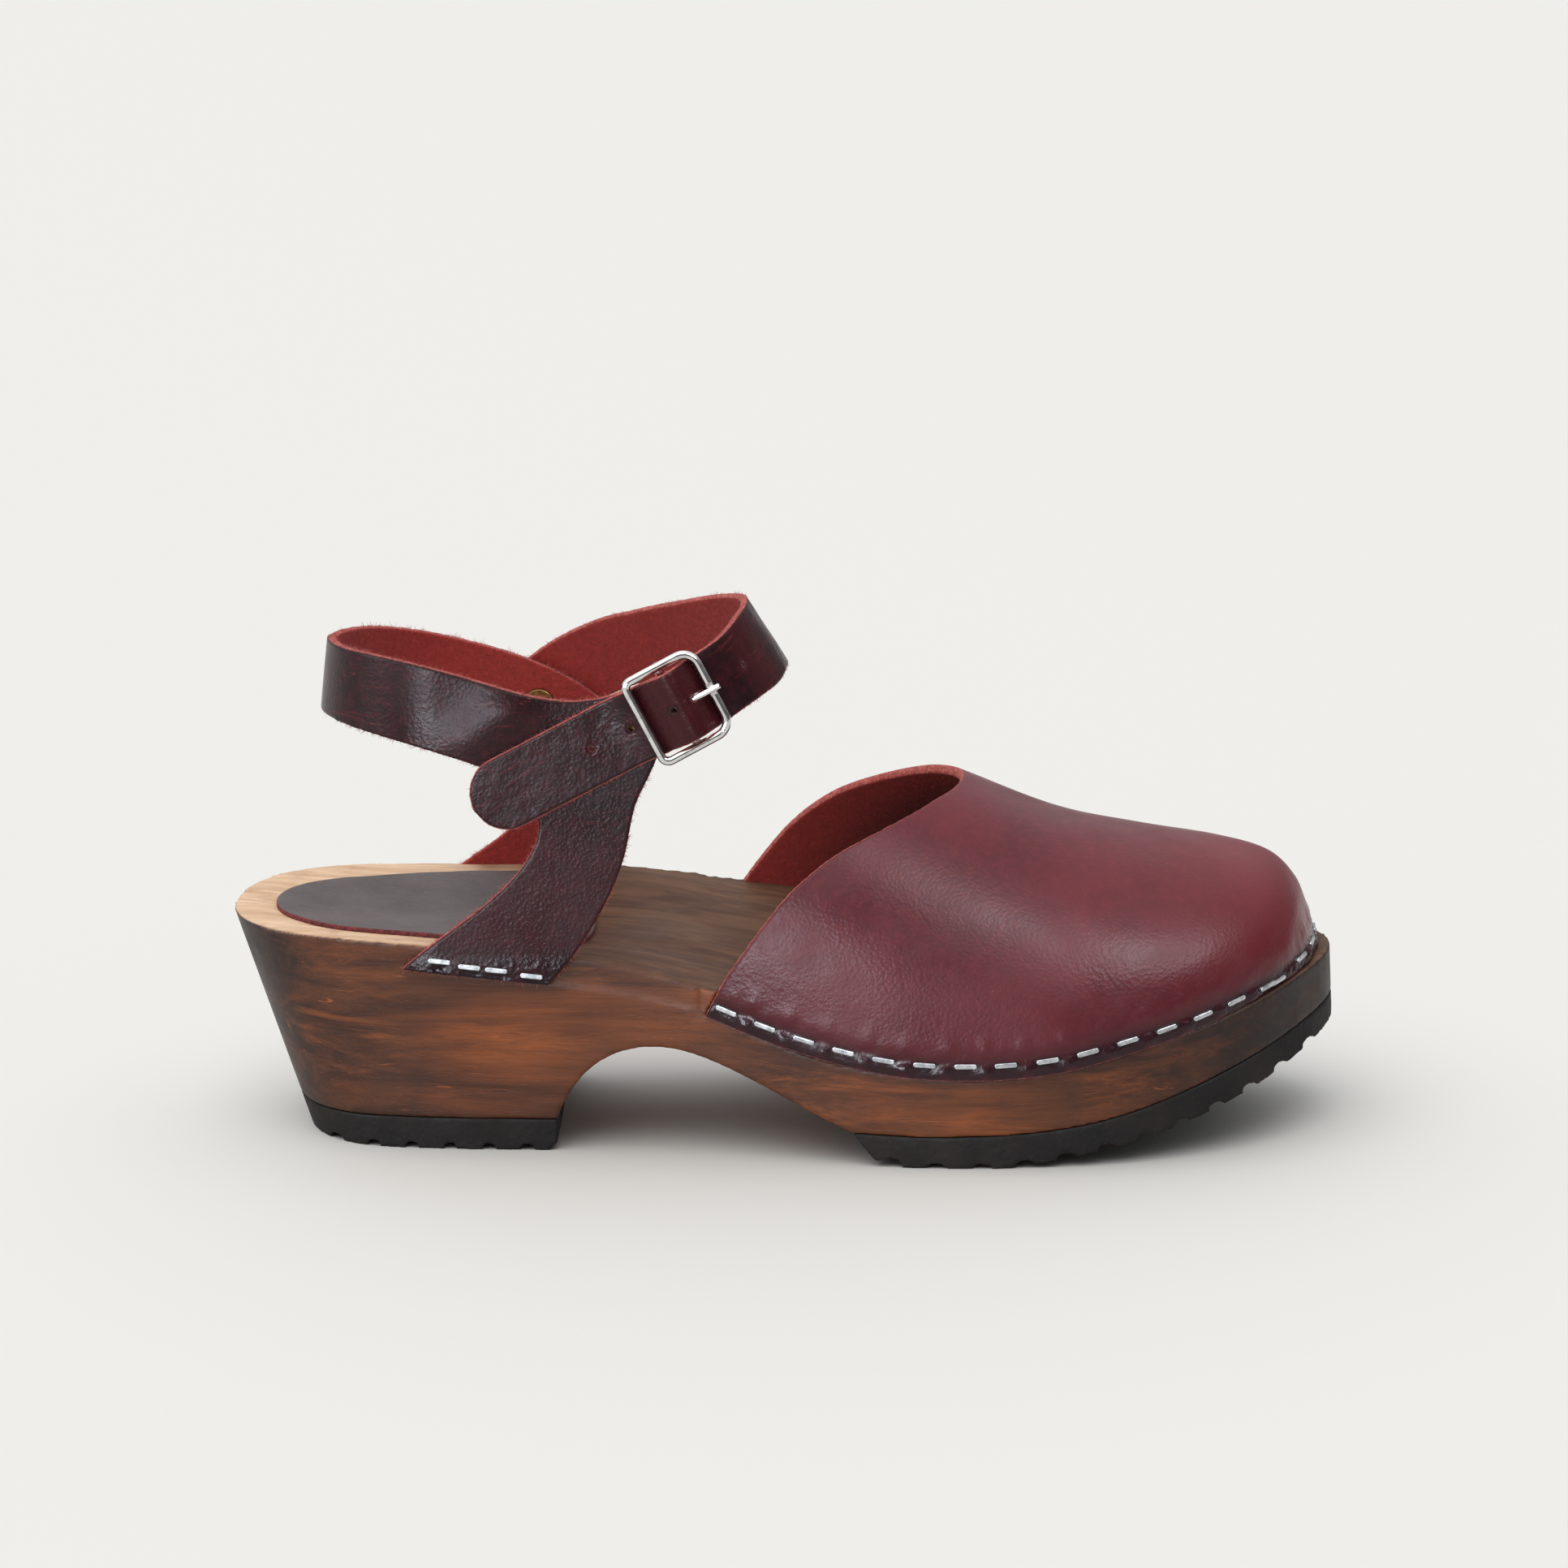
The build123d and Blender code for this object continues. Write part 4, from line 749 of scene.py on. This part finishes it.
# -------------------------------- flat-cut leather
def plate(name, outline, holes, place, thick, spacing, material, extra):
    """Closed leather piece cut to a flat outline with holes, put in space by
    place(a, b, depth)."""
    loops = [outline] + holes
    flat, edges = [], []
    for loop in loops:
        first = len(flat)
        flat += [tuple(p) for p in loop]
        edges += [(first + i, first + (i + 1) % len(loop)) for i in range(len(loop))]
    rim = np.array(flat)
    low, high = rim.min(0), rim.max(0)
    grid = []
    rows = int((high[1] - low[1]) / (spacing * 0.866)) + 1
    for r in range(rows):
        b = low[1] + r * spacing * 0.866
        offset = 0.5 * spacing * (r % 2)
        for c in range(int((high[0] - low[0]) / spacing) + 1):
            grid.append((low[0] + offset + c * spacing, b))
    grid = np.array(grid)

    def within(points, loop):
        loop = np.array(loop)
        ax, ay = loop.T
        bx, by = np.roll(loop, -1, 0).T
        hit = np.zeros(len(points), bool)
        for x1, y1, x2, y2 in zip(ax, ay, bx, by):
            crosses = (y1 > points[:, 1]) != (y2 > points[:, 1])
            with np.errstate(divide="ignore", invalid="ignore"):
                cut = (x2 - x1) * (points[:, 1] - y1) / (y2 - y1) + x1
            hit ^= crosses & (points[:, 0] < cut)
        return hit

    inside = within(grid, outline)
    for hole in holes:
        inside &= ~within(grid, hole)
    grid = grid[inside]
    tree = KDTree(len(rim))
    for i, p in enumerate(rim):
        tree.insert((p[0], p[1], 0), i)
    tree.balance()
    grid = [g for g in grid if tree.find((g[0], g[1], 0))[2] > 0.62 * spacing]
    everything = [Vector(p) for p in flat] + [Vector((float(g[0]), float(g[1]))) for g in grid]
    points2, _, tris, _, _, _ = delaunay_2d_cdt(everything, edges, [], 0, 1e-5)
    coords = np.array([(p.x, p.y) for p in points2])
    centres = np.array([coords[list(t)].mean(0) for t in tris])
    keep = within(centres, outline)
    for hole in holes:
        keep &= ~within(centres, hole)
    tris = [t for t, k in zip(tris, keep) if k]
    used = sorted({i for t in tris for i in t})
    rename = {old: new for new, old in enumerate(used)}
    coords = coords[used]
    tris = [tuple(rename[i] for i in t) for t in tris]
    turned = []
    for a, b, c in tris:
        (x1, y1), (x2, y2), (x3, y3) = coords[a], coords[b], coords[c]
        area = (x2 - x1) * (y3 - y1) - (x3 - x1) * (y2 - y1)
        turned.append((a, b, c) if area > 0 else (a, c, b))
    count = len(coords)
    next_of = {}
    directed = {(t[i], t[(i + 1) % 3]) for t in turned for i in range(3)}
    for a, b in directed:
        if (b, a) not in directed:
            next_of[a] = b
    before = {b: a for a, b in next_of.items()}
    points = [place(a, b, 0) for a, b in coords] + [place(a, b, thick) for a, b in coords]
    faces = list(turned) + [(count + c, count + b, count + a) for a, b, c in turned]
    masks = {"flesh": [0.0] * count + [1.0] * count, "raw": [0.0] * (2 * count),
             "flat": [(a * MM, b * MM, 0) for a, b in coords] * 2}
    segments = 5
    ring = {0: {i: i for i in next_of}, segments: {i: count + i for i in next_of}}
    for s in range(1, segments):
        angle = math.pi * s / segments
        ring[s] = {}
        for i in next_of:
            a, b = coords[before[i]], coords[next_of[i]]
            way = (b - a) / max(1e-9, np.hypot(*(b - a)))
            out = np.array((way[1], -way[0]))
            here = coords[i]
            fuzz = 1 + 0.8 * noise.noise(Vector((here[0] / 0.5, here[1] / 0.5, s * 0.7)))
            bulge = 0.30 * math.sin(angle) * fuzz
            spot = here + out * bulge
            ring[s][i] = len(points)
            points.append(place(spot[0], spot[1], thick / 2 * (1 - math.cos(angle))))
            masks["flesh"].append(0.0)
            masks["raw"].append(1.0)
            masks["flat"].append((here[0] * MM, here[1] * MM, 0))
    for i in next_of:
        masks["raw"][i] = masks["raw"][count + i] = RIM_RAW
    for s in range(segments):
        for i, j in next_of.items():
            faces.append((ring[s][i], ring[s + 1][i], ring[s + 1][j], ring[s][j]))
    flats = np.array(masks["flat"])[:, :2] / MM
    masks.update(extra(flats, np.array([tuple(p) for p in points])))
    return new_mesh(name, points, faces, masks, material)


# -------------------------------- ankle strap
BUCKLE = Vector((-24.1, -31.7, 105.4))
OUTWARD = Vector((0.09, -1.0, 0.10)).normalized()
SLOPE = math.radians(27.5)
rise_y = (OUTWARD.x * math.cos(SLOPE) + OUTWARD.z * math.sin(SLOPE)) / -OUTWARD.y
ALONG = Vector((math.cos(SLOPE), rise_y, math.sin(SLOPE))).normalized()
ACROSS = OUTWARD.cross(ALONG)
STRAP_THICK, STRAP_WIDTH, WIDE = 1.9, 16.2, 17.8
WALL_FOOT, WALL_FOOT_Z, WALL_LEAN = 35.5, 44, 0.11


def wall_half(z):
    """Half width of the heel strap's wall at a height."""
    return WALL_FOOT - WALL_LEAN * (z - WALL_FOOT_Z)


rivet_normal = Vector((0, 1, WALL_LEAN)).normalized()
rivet_place = Vector((-58.9, wall_half(92.7), 92.7))
end_slope = math.radians(40)
rivet_along = Vector((math.cos(end_slope), -WALL_LEAN * math.sin(end_slope),
                      math.sin(end_slope))).normalized()
rivet_across = rivet_along.cross(rivet_normal)
CLEARANCE = 0.35
gap = CLEARANCE + STRAP_THICK / 2
rivet_middle = rivet_place + rivet_normal * gap


def station(centre, across, width):
    return (*centre, *across, width)


def riveted(s):
    return station(rivet_middle + rivet_along * s, rivet_across, WIDE)


def buckled(s, n):
    return station(BUCKLE + ALONG * s + OUTWARD * n, ACROSS, STRAP_WIDTH)


def tail(s):
    middle = BUCKLE + ALONG * s
    across = Vector((ACROSS.x, ACROSS.z * WALL_LEAN, ACROSS.z)).normalized()
    return station(Vector((middle.x, -wall_half(middle.z) - gap, middle.z)), across, STRAP_WIDTH)


INSTEP = [
    station((-42.3, 28.9, 104.0), (-0.47, -0.14, 0.87), WIDE),
    station((-31.8, 25.6, 107.6), (-0.52, -0.14, 0.84), WIDE),
    station((-21.4, 20.2, 110.8), (-0.54, -0.10, 0.83), WIDE),
    station((-12.0, 12.4, 113.9), (-0.54, -0.05, 0.84), WIDE),
    station((-5.9, 3.0, 115.8), (-0.54, 0, 0.84), WIDE),
    station((-5.1, -6.5, 115.9), (-0.51, 0, 0.86), WIDE),
    station((-7.2, -15.5, 114.3), (-0.47, 0, 0.88), WIDE),
    station((-11.3, -23.4, 111.9), (-0.46, 0.03, 0.88), STRAP_WIDTH),
]
STATIONS = (
    [riveted(-9.5), riveted(0), riveted(9)] + INSTEP
    + [buckled(8.5, -1.15), buckled(6.7, -0.6), buckled(4.3, 1.7), buckled(1.4, 4.4),
       buckled(-1.2, 3.8), buckled(-4.25, 1.1), buckled(-8.5, -1.3)]
    + [tail(s) for s in (-15, -24, -33, -42, -52)])
LAST = len(STATIONS) - 1
FINE = 40
trail = [glide(STATIONS, n / FINE) for n in range(LAST * FINE + 1)]
lengths = [0.0]
for a, b in zip(trail, trail[1:]):
    lengths.append(lengths[-1] + (Vector(b[:3]) - Vector(a[:3])).length)
STRAP_LENGTH = lengths[-1]
strap_rows = {}


def strap_frame(a):
    """Middle, across and outward directions and width at a length along the strap."""
    key = round(a, 2)
    if key not in strap_rows:
        t = float(np.interp(key, lengths, range(len(lengths)))) / FINE
        over = key - min(max(key, 0), STRAP_LENGTH)
        row = glide(STATIONS, t)
        back = Vector(glide(STATIONS, max(t - 0.02, 0))[:3])
        front = Vector(glide(STATIONS, min(t + 0.02, LAST))[:3])
        forward = (front - back).normalized()
        across = Vector(row[3:6])
        across = (across - forward * across.dot(forward)).normalized()
        strap_rows[key] = (Vector(row[:3]) + forward * over, across, across.cross(forward), row[6])
    return strap_rows[key]


def strap_place(a, b, depth):
    middle, across, outward, _ = strap_frame(a)
    spot = Vector((a / 9, b / 9, 0))
    wave = 0.10 * noise.noise(spot) + 0.05 * noise.noise(spot * 4)
    return middle + across * b + outward * (STRAP_THICK / 2 - depth + wave)


def length_at(s):
    """Length along the strap where it is s along the buckle's axis from the centre bar."""
    best = None
    for n, row in enumerate(trail):
        if n < 6 * FINE:
            continue
        miss = abs((Vector(row[:3]) - BUCKLE).dot(ALONG) - s)
        if best is None or miss < best[0]:
            best = (miss, lengths[n])
    return best[1]


def strap_outline():
    top, bottom = [], []
    steps = int(STRAP_LENGTH / 0.7)
    for n in range(steps + 1):
        a = STRAP_LENGTH * n / steps
        half = strap_frame(a)[3] / 2
        half += 0.10 * noise.noise(Vector((a / 7, 0, 5)))
        for end_a, radius in ((0, WIDE / 2), (STRAP_LENGTH, STRAP_WIDTH / 2)):
            off = abs(a - end_a)
            if off < radius:
                half = min(half, math.sqrt(max(0, radius**2 - (radius - off) ** 2)))
        if half < 1.2:
            continue
        top.append((a, half))
        bottom.append((a, -half + 0.1 * noise.noise(Vector((a / 6, 3, 1)))))
    caps = []
    for end_a, sign, radius in ((0, 1, WIDE / 2), (STRAP_LENGTH, -1, STRAP_WIDTH / 2)):
        caps.append([(end_a + sign * (radius - radius * math.cos(q)), radius * math.sin(q))
                     for q in np.linspace(-0.1, 0.1, 5)])
    return bottom + caps[1] + top[::-1] + caps[0][::-1]


def circle(a, b, ra, rb=None, count=18):
    rb = rb or ra
    return [(a + ra * math.cos(math.tau * i / count), b + rb * math.sin(math.tau * i / count))
            for i in range(count)]


hole_lengths = [length_at(s) for s in (-21.5, -11.5, -0.9, 16.8)]
prong_from, prong_to = length_at(6.3), length_at(2.6)
strap_holes = [circle(a, 0, 0.95) for a in hole_lengths]
strap_holes.append(circle((prong_from + prong_to) / 2, 0, abs(prong_to - prong_from) / 2, 1.05, 26))
strap_holes.append(circle(9.5, 0, 1.31, count=22))


def strap_masks(flats, points):
    pressed = np.zeros(len(flats))
    redden = np.zeros(len(flats))
    for spot in hole_lengths:
        r = np.hypot(flats[:, 0] - spot, flats[:, 1])
        redden = np.maximum(redden, 1 - ease(r, 1.2, 2.6))
        pressed = np.maximum(pressed, 0.9 * (1 - ease(r, 1.05, 1.45)))
    between = ease(flats[:, 0], length_at(8), length_at(5)) * (
        1 - ease(flats[:, 0], length_at(-4), length_at(-8)))
    redden = np.maximum(redden, 0.9 * between)
    redden = np.maximum(redden, 0.7 * (1 - ease(np.abs(flats[:, 0] - length_at(20)), 2, 9)))
    return {"press": pressed, "redden": redden}


ankle_strap = plate("ankle_strap_leather", strap_outline(), strap_holes, strap_place, STRAP_THICK,
                    0.62, strap_leather, strap_masks)
settle(ankle_strap, "ankle_strap", "dark_leather", "ankle_strap")

# -------------------------------- heel strap
HEEL_THICK = 2.2
HEEL_ROUND_X = -78          # behind this the band bends round the heel
TAB_STAPLES = [(-78.3, 46.6), (-71.5, 45.3), (-65.4, 44.6), (-57.4, 43.3)]
SKIN_REACH = 0.25           # how near a wall a point must be to be set on it

heel = soften("heel_strap", "heel_strap_leather", 0.34, 5, strap_leather)
P, N = read_points(heel)
x, y, z = P.T
turned = x < HEEL_ROUND_X
reach = np.where(turned, np.hypot(x - HEEL_ROUND_X, y), np.abs(y))
depth = wall_half(z) - reach
radial = np.stack([np.where(turned, (x - HEEL_ROUND_X) / np.maximum(reach, 1), 0),
                   np.where(turned, y / np.maximum(reach, 1), np.sign(y)),
                   np.zeros(len(x))], 1)
facing = (N * radial).sum(1)
on_skin = (np.abs(depth) < SKIN_REACH) & (facing > 0.9)
on_flesh = (np.abs(depth - HEEL_THICK) < SKIN_REACH) & (facing < -0.9)
shift = np.where(on_skin, depth, np.where(on_flesh, depth - HEEL_THICK, 0))
P = P + radial * shift[:, None]
wave = rough_field(P, 13, 2.0) * 0.10
ragged = (1 - ease(np.abs(facing), 0.25, 0.7)) * rough_field(P, 0.7, 9.0) * 0.10
P = P + radial * wave[:, None] + N * ragged[:, None]
lip = np.zeros(len(x))
for sx, sz in TAB_STAPLES:
    lip -= 0.22 * np.exp(-((x - sx) / 2.4) ** 2 - ((z - sz + 1.6) / 1.1) ** 2)
lip += 1.2 * np.exp(-((x + 63) / 7) ** 2 - ((z - 103) / 5) ** 2) * (y < 0)
lip += 0.9 * np.exp(-((x + 71) / 7) ** 2 - ((z - 97) / 5.5) ** 2) * (y < 0)
lip += 0.20 * ease(-z, -48.5, -45) + 0.10 * rough_field(P, 1.0, 4.0) * ease(-z, -48, -45)
P = P + radial * (lip * (facing > 0.6))[:, None]
write_points(heel, P)
raw = 1 - ease(np.abs(facing), 0.30, 0.62)
flesh = ease(-facing, -0.1, 0.4)
# painted shade: the foot of the heel tab darker
tab_foot_shade = ease(-z, -50, -44) * (1 - ease(np.abs(x + 70), 18, 26))
near_staple = np.zeros(len(x))
for sx, sz in TAB_STAPLES:
    near_staple = np.maximum(near_staple, np.exp(-((x - sx) / 2.6) ** 2
                                                 - ((z - sz + 1.9) / 1.6) ** 2))
bend = WALL_FOOT * np.arctan2(HEEL_ROUND_X - x, np.abs(y))
run = np.where(turned, HEEL_ROUND_X - bend, x) * np.sign(-y)
# the darkening mask here: squeeze by the tab staples plus the painted shade at the tab's foot
paint(heel, {"raw": raw, "flesh": flesh, "press": np.clip(near_staple + 0.25 * tab_foot_shade, 0, 1),
             "redden": 0.55 * ease(-z, -88, -60) * (1 - ease(-z, -52, -46)),
             "flat": np.stack([run * MM, z * MM, np.zeros(len(x))], 1)})
settle(heel, "clog", "dark_leather", "heel_strap")

# -------------------------------- loose fibres on cut edges
def fibre():
    g = Graph("raw_fibre")
    colour = g.mix(g.span(g.noise(900, 3), 0.35, 0.65), (168, 58, 54), (222, 112, 102))
    return g.finish(Base_Color=colour, Roughness=0.85, Sheen_Weight=0.3,
                    Normal=g.bump(g.noise(4000, 2), 0.00001, 0.3))


fibre_material = fibre()


BUCKLE_REACH = 16           # no loose fibres this near the buckle, where they would brush it


def fuzz(name, obj, body, slot, count, reach, seed):
    """Short curled fibres that stand on the raw edge of a leather piece."""
    dice = random.Random(seed)
    mask = np.zeros(len(obj.data.vertices), np.float32)
    obj.data.attributes["raw"].data.foreach_get("value", mask)
    points, normals = read_points(obj)
    wild = rough_field(points, 4.0, 3.3)
    clear = np.linalg.norm(points - np.array(BUCKLE), axis=1) > BUCKLE_REACH
    roots = [i for i in np.nonzero((mask > 0.85) & clear)[0] if wild[i] > -0.15]
    made, faces = [], []
    for i in dice.sample(roots, min(count, len(roots))):
        root, way = Vector(points[i]), Vector(normals[i])
        way = (way + Vector([dice.gauss(0, 0.55) for _ in range(3)])).normalized()
        curl = Vector([dice.gauss(0, 1) for _ in range(3)]).cross(way).normalized()
        length = reach * dice.uniform(0.35, 1.0) ** 1.6
        side = way.cross(curl).normalized()
        first = len(made)
        rings = 4
        for r in range(rings):
            t = r / (rings - 1)
            spot = root + way * (length * t - 0.12) + curl * (length * 0.45 * t * t)
            thick = 0.062 * (1 - 0.75 * t)
            for q in range(3):
                angle = math.tau * q / 3
                made.append(spot + (curl * math.cos(angle) + side * math.sin(angle)) * thick)
        for r in range(rings - 1):
            for q in range(3):
                a, b = first + r * 3 + q, first + r * 3 + (q + 1) % 3
                faces.append((a, b, b + 3, a + 3))
        faces.append((first + 2, first + 1, first))
        top = first + (rings - 1) * 3
        faces.append((top, top + 1, top + 2))
    hairs = new_mesh(name, made, faces, {}, fibre_material)
    return settle(hairs, body, slot)


fuzz("heel_strap_fibres", heel, "clog", "dark_leather", 2600, 1.35, 5)
fuzz("ankle_strap_fibres", ankle_strap, "ankle_strap", "dark_leather", 1500, 1.0, 6)

# -------------------------------- metal nodes keep their shape
for node, material in (("vamp_staples_outer", zinc), ("vamp_staples_toe", zinc),
                       ("vamp_staples_inner", zinc), ("outer_tab_staples", zinc),
                       ("inner_tab_staples", zinc), ("buckle_frame", chrome),
                       ("buckle_prong", chrome), ("strap_rivet_cap", brass),
                       ("strap_rivet_socket", brass), ("fold_rivet_cap", brass),
                       ("fold_rivet_socket", brass)):
    for slot in nodes[node].material_slots:
        slot.material = material

# -------------------------------- floor, light, camera
floor_mesh = bpy.data.meshes.new("floor")
floor_mesh.from_pydata([(-9, -9, 0), (9, -9, 0), (9, 9, 0), (-9, 9, 0)], [], [(0, 1, 2, 3)])
floor = bpy.data.objects.new("floor", floor_mesh)
bpy.context.scene.collection.objects.link(floor)
g = Graph("pale_floor")
floor_mesh.materials.append(g.finish(Base_Color=(226, 226, 224), Roughness=0.75,
                                     Specular_IOR_Level=0.2))

world = bpy.data.worlds.new("studio")
bpy.context.scene.world = world
world.use_nodes = True
bpy.context.scene.view_settings.view_transform = "Standard"
sky = world.node_tree
where = sky.nodes.new("ShaderNodeTexCoord").outputs["Generated"]
lean = sky.nodes.new("ShaderNodeVectorMath")
lean.operation = "DOT_PRODUCT"
sky.links.new(where, lean.inputs[0])
lean.inputs[1].default_value = Vector((-0.25, 0.25, 0.95)).normalized()
fade = sky.nodes.new("ShaderNodeMapRange")
fade.interpolation_type = "SMOOTHSTEP"
for key, number in (("From Min", -0.05), ("From Max", 0.95), ("To Min", 0.14), ("To Max", 1.20)):
    fade.inputs[key].default_value = number
sky.links.new(lean.outputs["Value"], fade.inputs["Value"])
sky.nodes["Background"].inputs["Color"].default_value = tint((246, 246, 246))
sky.links.new(fade.outputs["Result"], sky.nodes["Background"].inputs["Strength"])

sun_data = bpy.data.lights.new("soft_top", "SUN")
sun_data.energy = 1.15
sun_data.angle = math.radians(62)
sun_data.color = tint((255, 252, 246))[:3]
sun = bpy.data.objects.new("soft_top", sun_data)
bpy.context.scene.collection.objects.link(sun)
sun.rotation_euler = Vector((0.35, 0.50, -1.25)).to_track_quat("-Z", "Y").to_euler()


def area_light(name, place, size, power, colour):
    data = bpy.data.lights.new(name, "AREA")
    data.shape = "RECTANGLE"
    data.size, data.size_y = size
    data.energy = power
    data.color = tint(colour)[:3]
    lamp = bpy.data.objects.new(name, data)
    bpy.context.scene.collection.objects.link(lamp)
    lamp.location = place
    aim = Vector((0, 0, 0.06)) - Vector(place)
    lamp.rotation_euler = aim.to_track_quat("-Z", "Y").to_euler()
    return lamp


# the reflectors shape highlights on the object and leave the floor evenly lit
lit = bpy.data.collections.new("lit_by_reflectors")
for piece in bpy.context.scene.objects:
    if piece.type == "MESH" and piece != floor:
        lit.objects.link(piece)
for lamp in (area_light("window", (-2.7, -1.25, 0.95), (1.7, 1.5), 44, (250, 250, 255)),
             area_light("doorway", (-0.88, -2.62, 0.50), (0.50, 0.60), 46, (240, 246, 255)),
             area_light("side_window", (1.15, -1.35, 1.60), (0.8, 0.8), 30, (244, 248, 255))):
    lamp.light_linking.receiver_collection = lit
    lamp.visible_diffuse = False

CAMERA_DISTANCE = 1.1
target = Vector((-0.0005, 0, 0.0796))
azimuth, elevation = math.radians(0.6), math.radians(13.8)
back = Vector((math.sin(azimuth) * math.cos(elevation), -math.cos(azimuth) * math.cos(elevation),
               math.sin(elevation)))
camera_data = bpy.data.cameras.new("camera")
camera_data.lens = 108.8
camera_data.sensor_width = 36
camera_data.clip_start = 0.01
camera = bpy.data.objects.new("camera", camera_data)
bpy.context.scene.collection.objects.link(camera)
camera.location = target + back * CAMERA_DISTANCE
camera.rotation_euler = (-back).to_track_quat("-Z", "Y").to_euler()
bpy.context.scene.camera = camera
